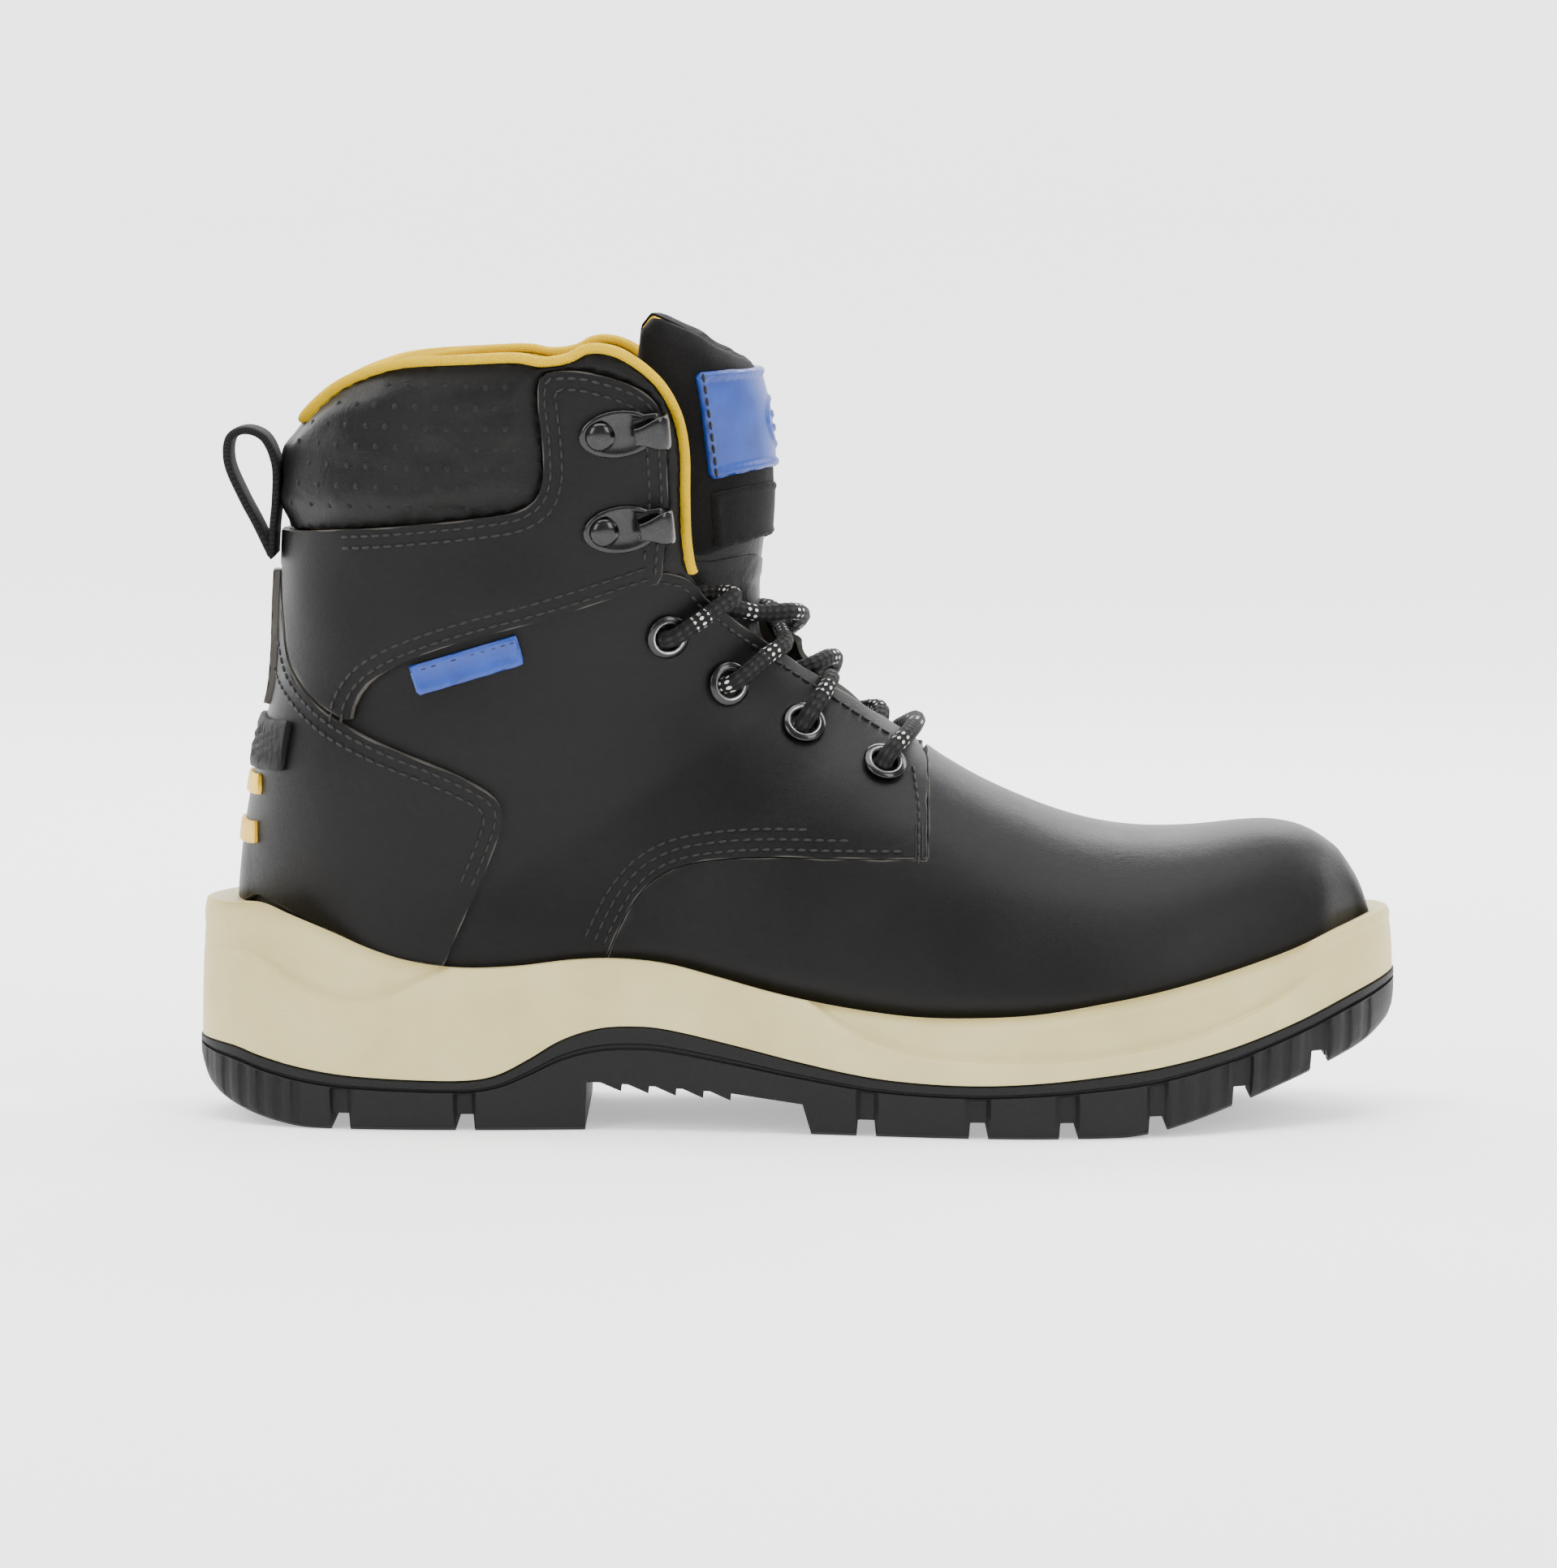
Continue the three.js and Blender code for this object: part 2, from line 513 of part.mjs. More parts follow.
const seatSlab = (bottom, top, inside) => largest(formAt(inside).intersect(seatLayer(bottom, top)));
const boardTop = CLEARANCE + BOARD;
const footbedTop = boardTop + CLEARANCE + FOOTBED;
add("insole_board", seatSlab(CLEARANCE, boardTop, level.lining[0] - CLEARANCE), finish.board);
add("footbed", seatSlab(boardTop + CLEARANCE, footbedTop, level.lining[0] - 2), finish.foam);

add("toe_cap", largest(panel(level.stiffener, [
  [98, 36], [110, 39], [124, 44], [138, 50], [160, 58], [160, 110], [98, 110],
].map(at))), finish.steel);
add("heel_stiffener", largest(panel(level.stiffener, [
  [-160, 20], [-92, 20], [-90, 45], [-91, 70], [-104, 88], [-122, 100], [-160, 104],
].map(at))), finish.board);

const liningFront = [at([-59, 20]), at([-59, 74]), at([-50, 96]), at([-45, 112]), at([-42, 124]), at([-40, 134])];
add("vamp_lining", largest(panel(level.lining, [
  at([170, 20]), at([170, 120]), at([41, 120]), at([38, 73]), at([27, 74]), at([15, 77.4]), at([3, 81.5]),
  at([-8, 87.6]), at([-19, 94.4]), at([-29, 101]), at([-36, 109]),
  ...shifted(liningFront.slice(0, 4), -CLEARANCE).reverse(),
])), finish.board);

const innerEdge = shifted(collarEdge, -BINDING - CLEARANCE); // the collar's edge, less the binding
add("collar_lining", largest(panel(level.lining, [
  at([-160, 20]), ...liningFront, at([-34, 141.5]), ...innerEdge.slice().reverse(), at([-160, 178]),
])), finish.yellow);
add("collar_foam", largest(panel(level.stiffener, [
  at([-160, 154]), ...shifted(cuffSeam.slice(2, 16), 3), at([-67, 172]), at([-68, 189]), at([-82, 191.5]),
  at([-98, 190.5]), at([-110, 187]), at([-119, 182]), at([-127, 174]), at([-160, 174]),
])), finish.foam);

// ---- Upper leather ------------------------------------------------------------------------------

add("vamp", largest(panel(level.base, [
  at([-52, 0]), ...vampSeam.map((p) => new THREE.Vector2(p.x + CLEARANCE, p.y - CLEARANCE)),
  ...vampFront, at([170, 110]), at([170, 0]),
])), finish.leather);

const backSeamY = centreLine(-140 * gradeX);
// The throat in plan: what is open between the two facings over the lower tongue.
const THROAT = [
  [-6, -3.4], [2, -4.8], [12, -5], [23, -4.8], [26.5, 2], [25.5, 12], [23.5, 15.6], [14, 15.8], [4, 12.6], [-4, 11.6], [-6, 5],
];
function throat() {
  const shape = new THREE.Shape(THROAT.map(([x, y]) => new THREE.Vector2(x * gradeX, y * gradeY)));
  const geometry = new THREE.ExtrudeGeometry(shape, { depth: 40 * gradeZ, bevelEnabled: false });
  geometry.translate(0, 0, 92 * gradeZ);
  return solidOf(geometry);
}
const opened = throat();
const EYELETS = [[21.7, 91.6], [1.3, 101.4], [-17.8, 111.9], [-33, 124.6]]; // from the toe up
const HOOKS = [[-43, 152.6], [-43.6, 176.6]]; // plate centres, the lower one first
const HOOK_TILT = 0.1;

// A frame with z along the form's normal and x as near as it can be to a side-view direction.
function frameOn(place, side, direction) {
  const { point, normal } = placeOn(place, side);
  const along = new THREE.Vector3(direction.x, 0, direction.y);
  const across = normal.clone().cross(along).normalize();
  const x = across.clone().cross(normal).normalize();
  return new THREE.Matrix4().makeBasis(x, across, normal).setPosition(point);
}
const hookFrame = (place, side) => frameOn(place, side, new THREE.Vector2(Math.cos(HOOK_TILT), Math.sin(HOOK_TILT)));
const eyeletFrame = (place, side) => frameOn(place, side, new THREE.Vector2(0.8, -0.6));

function drill(radius, frame, reach = 8) {
  const geometry = new THREE.CylinderGeometry(radius, radius, 2 * reach, 12);
  geometry.rotateX(Math.PI / 2);
  geometry.applyMatrix4(frame);
  return solidOf(geometry);
}
const RIVET_OFFSET = -6.2; // from the hook plate's centre to its rivet
const rivetFrame = (place, side) => hookFrame(place, side).multiply(new THREE.Matrix4().makeTranslation(RIVET_OFFSET, 0, 0));

const quarterOutline = (edge) => [
  at([-160, 10]), at([-52, 10]), ...vampSeam, at([32.5, 83]), ...edge.slice().reverse(), ...tabTop.slice(0, -1).reverse(),
  ...hookPanelTop.slice(0, -1).reverse(), ...cuffSeam.slice(0, -1).reverse(), at([-160, 150.4]),
];
const yokeOutline = [
  ...cuffSeam, ...hookPanelTop.slice(1), ...yokeLower.slice(1),
  ...counterEdge.slice(0, 14).map((p) => new THREE.Vector2(p.x + 2 * CLEARANCE, p.y + 2 * CLEARANCE)).reverse()
    .filter((p) => p.x < -113 * gradeX),
  at([-131, 141]), at([-160, 141]), at([-160, 150.4]),
];

for (const [side, name] of [[-1, "lateral"], [1, "medial"]]) {
  const low = side < 0 ? -100 : backSeamY + CLEARANCE / 2;
  const high = side < 0 ? backSeamY - CLEARANCE / 2 : 100;
  let quarter = panel(level.base, quarterOutline(side < 0 ? facingEdge : facingEdgeMedial), low, high).subtract(opened);
  let yoke = panel(level.overlay, yokeOutline, low, high);
  for (const place of EYELETS) quarter = quarter.subtract(drill(EYELET_BORE + EYELET_WALL + CLEARANCE + 0.2, eyeletFrame(place, side)));
  for (const place of HOOKS) {
    const hole = drill(RIVET_SHANK + CLEARANCE, rivetFrame(place, side));
    quarter = quarter.subtract(hole);
    yoke = yoke.subtract(hole);
  }
  add(`quarter_${name}`, largest(quarter), finish.leather);
  add(`yoke_${name}`, largest(yoke), finish.leather);
}

const aboveFeather = [-160, -150, -144, -136, -128, -118, -108, -98]
  .map((x) => new THREE.Vector2(x * gradeX, featherLevel(x * gradeX) + 4 * CLEARANCE));
const BARS = [[-141.6, 72.8, 5.6], [-140.4, 85, 5]]; // yellow heel inserts: x, z and height
const barWindow = ([x, z, height], grow) => {
  const c = at([x, z]), h = height / 2 + grow;
  return prism([
    new THREE.Vector2(c.x - 20, c.y - h), new THREE.Vector2(c.x + 5.5 + grow, c.y - h),
    new THREE.Vector2(c.x + 5.5 + grow, c.y + h), new THREE.Vector2(c.x - 20, c.y + h),
  ]);
};
let counter = panel(level.overlay, [...counterEdge, ...aboveFeather.slice().reverse(), at([-160, 140])]);
for (const bar of BARS) counter = counter.subtract(barWindow(bar, CLEARANCE));
add("heel_counter", largest(counter), finish.leather);
BARS.forEach((bar, i) => {
  const proud = CLEARANCE + LEATHER + 1.2;
  add(`heel_insert_${["lower", "upper"][i]}`, largest(
    formAt(proud).subtract(formAt(CLEARANCE)).intersect(barWindow(bar, 0)),
  ), finish.yellow);
});

add("collar_cuff", largest(panel(level.base, [
  at([-160, 151]), ...shifted(cuffSeam, CLEARANCE), ...shifted(hookPanelTop.slice(1), CLEARANCE),
  ...shifted(tabTop.slice(1, -2), CLEARANCE), ...innerEdge.slice().reverse(), at([-160, 176]),
])), finish.leather);
add("collar_binding", largest(panel([level.lining[0], 0], [
  at([-160, 178.5 - BINDING]), ...shifted(collarEdge, -BINDING), ...collarEdge.slice().reverse(), at([-160, 178.5]),
])), finish.yellow);

// ---- Tongue -------------------------------------------------------------------------------------

const TONGUE_HINGE = [-20, 141]; // the padded half folds here; its lower edge rises to both sides to let it
add("tongue", largest(panel(level.pad, [
  at([-34.6, 145.2]), at([-27, 143.2]), at(TONGUE_HINGE).add(new THREE.Vector2(0, 2 * CLEARANCE)), at([-6, 144.6]), at([30, 153]),
  at([30, 187]), at([-4, 189.4]),
  ...flow([[-10.5, 191], [-13, 195.5], [-19.5, 201], [-28, 205], [-32.5, 205.6], [-37, 201], [-38.8, 190], [-38.6, 172], [-37, 155], [-34.6, 145.2]], 20),
])), finish.suede);
add("tongue_lining", largest(panel(level.tongueLining, [
  at([-33.4, 146.6]), at([-27, 144.4]), at([-20, 143]), at([-10, 145]), at([30, 154]), at([30, 186]), at([-10, 187]),
  ...flow([[-15, 191], [-20, 197.5], [-28, 203], [-32, 204], [-36, 200], [-37.8, 190], [-37.6, 172], [-36, 157], [-33.4, 146.6]], 18),
])), finish.yellow);
add("tongue_lower", largest(panel(level.tongue, [
  at([48.5, 120]), at([48.5, 67]), at([40, 64]), at([27, 66.5]), at([13, 69.5]), at([0, 74]), at([-12, 80]), at([-21, 88]),
  at([-26, 98]), at([-26.5, 112]), at([-27, 126]), at([-28, 140.9]), at([30, 140.9]),
])), finish.leather);
add("tongue_gusset", largest(panel(level.gusset, [
  at([49, 120]), at([49, 66]), at([40, 62.4]), at([27, 64.6]), at([13, 67.4]), at([0, 71.4]), at([-12, 77.4]), at([-23, 85]),
  at([-32, 95]), at([-27, 100]), at([-18.5, 93]), at([-8.5, 86.4]), at([2.5, 80.2]), at([14.6, 76.2]),
  at([26.5, 72.7]), at([39.6, 71.7]), at([39.6, 120]),
])), finish.leather);
const badgeLevel = [tongueFace + CLEARANCE, tongueFace + CLEARANCE + BADGE_THICKNESS];
add("tongue_badge", largest(panel(badgeLevel, [
  at([-20.6, 190.8]), at([0, 194.4]), at([30, 200]), at([30, 171]), at([0, 166]), at([-17.2, 162.8]), at([-18.6, 163.8]),
  at([-21.9, 189.4]),
])), finish.blue);
add("tongue_label", largest(panel([badgeLevel[0], badgeLevel[0] + 0.8], [
  at([-17.7, 159]), at([20, 166]), at([20, 152.5]), at([-16.5, 144.4]),
])), finish.suede);

// ---- Pull loop, back strip and side tag ---------------------------------------------------------

function extrudeAcross(shape, width, y) {
  const geometry = new THREE.ExtrudeGeometry(shape, { depth: width, bevelEnabled: false, steps: 1 });
  geometry.rotateX(Math.PI / 2);
  geometry.translate(0, y + width / 2, 0);
  return solidOf(geometry);
}
// A strap folded on itself; its centre line is drawn in the side view and closed.
function strapLoop() {
  const line = new THREE.SplineCurve([
    [-134, 143.5], [-137.8, 151.5], [-141.6, 158.8], [-145, 167], [-144.6, 173.4], [-140.4, 175.4], [-135.6, 173.2],
    [-132.9, 166.5], [-132.9, 158], [-133.6, 150.5], [-134, 143.5],
  ].map(at)).getPoints(28);
  const outer = shifted(line, LOOP_STRAP / 2), inner = shifted(line, -LOOP_STRAP / 2);
  const strap = extrudeAcross(new THREE.Shape(outer.slice(1)), LOOP_WIDTH, backSeamY);
  return strap.subtract(extrudeAcross(new THREE.Shape(inner.slice(5, -5)), LOOP_WIDTH + 2, backSeamY));
}
add("pull_loop", strapLoop(), finish.suede);
const stripLevel = [2 * CLEARANCE + LEATHER, 2 * CLEARANCE + LEATHER + 1.5];
add("back_strip", largest(panel(stripLevel, [
  at([-160, 104]), at([-124, 104]), at([-122, 139.4]), at([-160, 139.4]),
], backSeamY - 6, backSeamY + 6)), finish.leather);
add("heel_pad", largest(panel(stripLevel, [
  at([-160, 89.6]), at([-128.6, 89.6]), at([-126.4, 102]), at([-160, 102]),
])), finish.rubber);
add("side_tag", largest(panel([CLEARANCE, CLEARANCE + TAG_THICKNESS], [
  at([-97.4, 117.6]), at([-70.6, 125.6]), at([-68.6, 118.4]), at([-95.2, 110.3]),
], -100, 0)), finish.blue);

// ---- Eyelets and lace hooks ---------------------------------------------------------------------

const OVER_YOKE = CLEARANCE + LEATHER;

function turned(profile, frame, segments = 10) {
  const geometry = new THREE.LatheGeometry(profile.map(([r, z]) => new THREE.Vector2(r, z)), segments);
  geometry.rotateX(Math.PI / 2);
  geometry.applyMatrix4(frame);
  return solidOf(geometry);
}

function eyelet(frame) {
  const tube = EYELET_BORE + EYELET_WALL, tail = washerTop - WASHER_THICKNESS;
  const seat = CLEARANCE + SEAT * 0.6, top = seat + EYELET_FLANGE_HEIGHT;
  return turned([
    [EYELET_BORE, tail], [tube, tail], [tube, seat], [EYELET_FLANGE, seat], [EYELET_FLANGE, seat + 0.4],
    [(EYELET_FLANGE + tube) / 2, top], [EYELET_BORE, top - 0.4], [EYELET_BORE, tail],
  ], frame);
}

function washer(frame) {
  const bore = EYELET_BORE + EYELET_WALL + CLEARANCE;
  return turned([
    [bore, washerTop - WASHER_THICKNESS], [WASHER_RADIUS, washerTop - WASHER_THICKNESS], [WASHER_RADIUS, washerTop],
    [bore, washerTop], [bore, washerTop - WASHER_THICKNESS],
  ], frame);
}

function hookPlate() {
  const shape = new THREE.Shape();
  shape.absellipse(-1.5, 0, HOOK_LENGTH / 2 - 1.5, HOOK_WIDTH / 2, 0, Math.PI * 2);
  const hole = new THREE.Path();
  hole.absarc(RIVET_OFFSET, 0, RIVET_SHANK + CLEARANCE, 0, Math.PI * 2);
  shape.holes.push(hole);
  const geometry = new THREE.ExtrudeGeometry(shape, { depth: HOOK_PLATE, bevelEnabled: false, curveSegments: 10 });
  return solidOf(geometry);
}

// The front of the plate rises and folds back over a gap; drawn in its own side view.
function hookLip() {
  const turn = (HOOK_GAP + HOOK_METAL) / 2, neck = HOOK_LENGTH / 2 - turn - 1;
  const centre = HOOK_PLATE / 2 + turn;
  const shape = new THREE.Shape();
  shape.moveTo(neck - 5, HOOK_PLATE / 2 - 0.5);
  shape.absarc(neck, centre, turn + HOOK_METAL / 2, -Math.PI / 2, Math.PI / 2, false);
  shape.lineTo(neck - 5.5, centre + turn + HOOK_METAL * 0.7);
  shape.lineTo(neck - 5.5, centre + turn - HOOK_METAL * 0.3);
  shape.absarc(neck, centre, turn - HOOK_METAL / 2, Math.PI / 2, -Math.PI / 2, true);
  shape.lineTo(neck - 5, HOOK_PLATE / 2 + 0.5);
  const geometry = new THREE.ExtrudeGeometry(shape, { depth: HOOK_WIDTH * 0.68, bevelEnabled: false, curveSegments: 8 });
  geometry.rotateX(Math.PI / 2);
  geometry.translate(0, HOOK_WIDTH * 0.34, 0);
  return solidOf(geometry);
}

function laceHook(frame) {
  const raised = frame.clone().multiply(new THREE.Matrix4().makeTranslation(0, 0, OVER_YOKE + CLEARANCE));
  return hookPlate().add(hookLip()).transform(raised.elements);
}

function rivet(frame) {
  const plateTop = OVER_YOKE + CLEARANCE + HOOK_PLATE + CLEARANCE;
  const tail = level.base[0] - CLEARANCE - SEAT;
  return turned([
    [0, tail - 0.6], [2.6, tail - 0.6], [2.6, tail], [RIVET_SHANK, tail], [RIVET_SHANK, plateTop], [RIVET_HEAD, plateTop],
    [RIVET_HEAD * 0.7, plateTop + 1.1], [0, plateTop + 1.6], [0, tail - 0.6],
  ], frame);
}

for (const [side, name] of [[-1, "lateral"], [1, "medial"]]) {
  EYELETS.forEach((place, i) => {
    add(`eyelet_${name}_${i + 1}`, eyelet(eyeletFrame(place, side)), finish.blackMetal);
    add(`washer_${name}_${i + 1}`, washer(eyeletFrame(place, side)), finish.steel);
  });
  HOOKS.forEach((place, i) => {
    add(`hook_${name}_${i + 1}`, laceHook(hookFrame(place, side)), finish.blackMetal);
    add(`rivet_${name}_${i + 1}`, rivet(rivetFrame(place, side)), finish.blackMetal);
  });
}

// ---- Lace: one round cord through the eight eyelets, its ends coiled on the footbed --------------

const LACED = [ // from inside the boot up the lateral side, through the eyelets, and back down the medial side
  [-67, -18.6, 50], [-63.5, -17, 66], [-60, -14, 86], [-54.7, -11.2, 106.3], [-48.2, -16.8, 120.6], [-41.1, -21.7, 130.6],
  [-33.7, -22.9, 134.2], [-26.4, -20.8, 134.5], [-19.6, -20.2, 134.8], [-16.3, -23, 134.5], [-20, -27.8, 131.9],
  [-25.9, -30.7, 127.9], [-32, -31.2, 124.1], [-34.8, -24.2, 125.7], [-20.1, -16.1, 131], [-10.2, -8.8, 129.2],
  [-2, -3.4, 129.2], [0.6, 4.5, 128.2], [0.6, 12.8, 126.4], [-1.6, 18.3, 124.2], [-7.3, 25.3, 120.1], [-16.9, 29, 112.3],
  [-19.4, 21.6, 111.3], [-7.3, 14.9, 113.2], [-0.4, 12.4, 112.4], [3, 11.1, 110.1], [4.9, 6.1, 109.8], [7.3, 0.5, 111.2],
  [8.4, -5.8, 112.4], [6.8, -13.1, 109.8], [2.2, -18.5, 103.2], [0.2, -11.9, 98.6], [10.1, -4.4, 99.8], [15.5, 2.5, 99.8],
  [18.3, 10.7, 97.8], [19.7, 13.9, 93.9], [20.4, 19.4, 89.3], [22.5, 26, 93], [25.7, 24.4, 96.7], [28.2, 20.9, 98.6], [30.2, 12.1, 100.3],
  [30.1, -0.8, 100.4], [27.9, -12.7, 98.9], [25.8, -17.8, 97.3], [22.4, -21.4, 93.7], [20.5, -15.9, 88.2], [19.9, -7, 92.7], [20.7, -1, 98.9],
  [20.8, 9, 103.4], [16, 13.3, 102.7], [10.1, 13.9, 101.7], [0.4, 19.3, 100], [1.9, 26.6, 102.3], [6.3, 24.9, 108.7],
  [8.6, 19.7, 112.7], [9.5, 13.7, 115.9], [7.8, 7.3, 116.6], [3.7, 1.1, 115.2], [-1.3, -1.5, 113.8], [-5.9, -4.1, 113.8],
  [-12.5, -8.9, 113.1], [-20, -15.2, 111.6], [-16.3, -22.6, 112.4], [-7.3, -17.1, 119.2], [-3.6, -11.3, 121.4],
  [-4.3, -3, 123.8], [-6, 3.2, 126.2], [-6.7, 9.5, 129], [-10.6, 13.8, 129.3], [-19.1, 19.6, 129], [-34.6, 27, 125.6],
  [-32.1, 34.6, 124.3], [-26, 33.9, 128.4], [-20.1, 30.9, 133.5], [-16.3, 26.1, 135.7], [-19.4, 23, 135.5],
  [-26.2, 23.2, 133.6], [-33.6, 25.1, 133.4], [-40.9, 24.1, 129.7], [-47.5, 19.8, 119.3], [-53.6, 15.1, 104.7],
  [-59, 18, 86], [-62.5, 21, 67], [-66, 22.6, 55],
];

// A flat oval turn on the footbed, from the wall on one side round the heel to an inner lane on that side.
function ovalTurn({ side, heel, front, radius, lift }) {
  const lane = LACE_DIAMETER + 0.5, middle = 2;
  const plan = [[heel + 18, side * radius], [heel + 9, side * radius]];
  for (let i = 0; i <= 6; i++) {
    const a = (Math.PI * i) / 6;
    plan.push([heel - radius * Math.sin(a), side * radius * Math.cos(a)]);
  }
  plan.push([(heel + front) / 2, -side * radius]);
  for (let i = 0; i <= 6; i++) {
    const a = (Math.PI * i) / 6, r = radius - (lane * i) / 6;
    plan.push([front + r * Math.sin(a), -side * r * Math.cos(a)]);
  }
  plan.push([heel + 14, side * (radius - lane)]);
  return plan.map(([x, y]) => [x, middle + y, 36.5 + lift + 5.4 * smooth(-84, -46, x)]);
}
const lateralTurn = ovalTurn({ side: -1, heel: -100, front: -62, radius: 20, lift: 0 });
const medialTurn = ovalTurn({ side: 1, heel: -100, front: -84, radius: 18, lift: LACE_DIAMETER + 0.4 });

function laceAndAglets() {
  const points = [...lateralTurn.slice().reverse(), ...LACED, ...medialTurn].map((p) => new THREE.Vector3(...p));
  const route = new THREE.CatmullRomCurve3(points, false, "centripetal");
  const steps = (points.length - 1) * 2;
  const rings = [];
  const normal = new THREE.Vector3(0, 0, 1);
  for (let i = 0; i <= steps; i++) {
    const centre = route.getPoint(i / steps), tangent = route.getTangent(i / steps);
    normal.addScaledVector(tangent, -normal.dot(tangent)).normalize(); // carried along without twist
    const binormal = tangent.clone().cross(normal);
    const ring = [];
    for (let j = 0; j < LACE_SIDES; j++) {
      const a = (Math.PI * 2 * j) / LACE_SIDES;
      ring.push(centre.clone()
        .addScaledVector(normal, Math.cos(a) * LACE_DIAMETER / 2)
        .addScaledVector(binormal, Math.sin(a) * LACE_DIAMETER / 2));
    }
    rings.push(ring);
  }
  add("lace", loft(rings), finish.lace);
  const ends = [["lateral", points[0], route.getTangent(0).negate()], ["medial", points.at(-1), route.getTangent(1)]];
  for (const [name, end, out] of ends) {
    const geometry = new THREE.CylinderGeometry(AGLET_RADIUS * 0.8, AGLET_RADIUS, AGLET_LENGTH, 10);
    geometry.translate(0, AGLET_LENGTH / 2 + CLEARANCE, 0);
    geometry.applyQuaternion(new THREE.Quaternion().setFromUnitVectors(new THREE.Vector3(0, 1, 0), out));
    geometry.translate(end.x, end.y, end.z);
    add(`aglet_${name}`, solidOf(geometry), finish.blackMetal);
  }
}
laceAndAglets();

export default boot;
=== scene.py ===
import math

import bmesh
import bpy
import numpy as np
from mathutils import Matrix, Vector, geometry, kdtree, noise


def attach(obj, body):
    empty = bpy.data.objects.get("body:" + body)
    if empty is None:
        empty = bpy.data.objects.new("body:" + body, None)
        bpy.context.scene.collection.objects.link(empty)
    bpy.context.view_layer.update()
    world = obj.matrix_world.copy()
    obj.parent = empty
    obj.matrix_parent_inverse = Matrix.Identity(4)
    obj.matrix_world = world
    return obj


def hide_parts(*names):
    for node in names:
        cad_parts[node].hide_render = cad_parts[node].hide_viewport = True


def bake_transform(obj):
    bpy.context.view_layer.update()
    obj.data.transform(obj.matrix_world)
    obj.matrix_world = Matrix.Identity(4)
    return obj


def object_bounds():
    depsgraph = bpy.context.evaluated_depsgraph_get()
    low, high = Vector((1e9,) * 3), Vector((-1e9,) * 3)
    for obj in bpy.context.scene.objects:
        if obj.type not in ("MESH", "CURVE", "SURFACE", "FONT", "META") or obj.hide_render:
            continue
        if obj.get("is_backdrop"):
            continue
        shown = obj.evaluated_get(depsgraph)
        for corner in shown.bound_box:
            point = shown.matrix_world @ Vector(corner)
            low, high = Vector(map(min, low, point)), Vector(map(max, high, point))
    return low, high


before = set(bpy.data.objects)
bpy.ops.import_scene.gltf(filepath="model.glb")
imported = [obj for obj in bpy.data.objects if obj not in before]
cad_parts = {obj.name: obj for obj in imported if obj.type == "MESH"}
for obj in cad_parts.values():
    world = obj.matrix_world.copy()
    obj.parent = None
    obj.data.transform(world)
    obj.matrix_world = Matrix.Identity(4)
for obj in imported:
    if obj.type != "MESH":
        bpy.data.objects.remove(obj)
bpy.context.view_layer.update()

# ---- Studio: pale floor that curves up into the wall, soft light from above and both sides ------
# A large overhead softbox and two strips at the sides give the long soft highlights of a shop picture.

def linear(hex_colour):
    values = [int(hex_colour[i:i + 2], 16) / 255 for i in (1, 3, 5)]
    return tuple(v / 12.92 if v <= 0.04045 else ((v + 0.055) / 1.055) ** 2.4 for v in values) + (1.0,)


def node(tree, kind, links=None, **settings):
    """Adds a node to a tree. settings are its properties; links are inputs: a value or another node's output."""
    made = tree.nodes.new(kind)
    for key, value in settings.items():
        setattr(made, key, value)
    for key, value in (links or {}).items():
        if isinstance(value, bpy.types.NodeSocket):
            tree.links.new(value, made.inputs[key])
        else:
            made.inputs[key].default_value = value
    return made


def material(name):
    """A named material, its node tree and its Principled shader."""
    made = bpy.data.materials.new(name)
    made.use_nodes = True
    return made, made.node_tree, made.node_tree.nodes["Principled BSDF"]


paper, tree, shader = material("Matt studio paper")
grain = node(tree, "ShaderNodeTexNoise", {"Scale": 3.0, "Detail": 2.0})
tone = node(tree, "ShaderNodeMix", {"Factor": grain.outputs["Fac"], "A": linear("#FAFAFA"), "B": linear("#FDFDFD")},
            data_type="RGBA")
tree.links.new(tone.outputs["Result"], shader.inputs["Base Color"])
shader.inputs["Roughness"].default_value = 0.9
shader.inputs["Emission Color"].default_value = (1, 1, 1, 1)
shader.inputs["Emission Strength"].default_value = 0.55

sweep = [(-6.0, 0.0), (1.4, 0.0), (1.9, 0.05), (2.35, 0.2), (2.7, 0.5), (2.9, 1.0), (2.95, 4.5)]
corners = [(x, y, z) for x in (-6.0, 6.0) for y, z in sweep]
floor_mesh = bpy.data.meshes.new("studio_floor")
floor_mesh.from_pydata(corners, [], [(i, i + 7, i + 8, i + 1) for i in range(6)])
floor = bpy.data.objects.new("studio_floor", floor_mesh)
bpy.context.scene.collection.objects.link(floor)
floor_mesh.materials.append(paper)
floor_mesh.shade_smooth()
floor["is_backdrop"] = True

world = bpy.data.worlds.new("Studio")
bpy.context.scene.world = world
world.use_nodes = True
world.node_tree.nodes["Background"].inputs["Color"].default_value = (0.97, 0.98, 1.0, 1)
world.node_tree.nodes["Background"].inputs["Strength"].default_value = 0.7


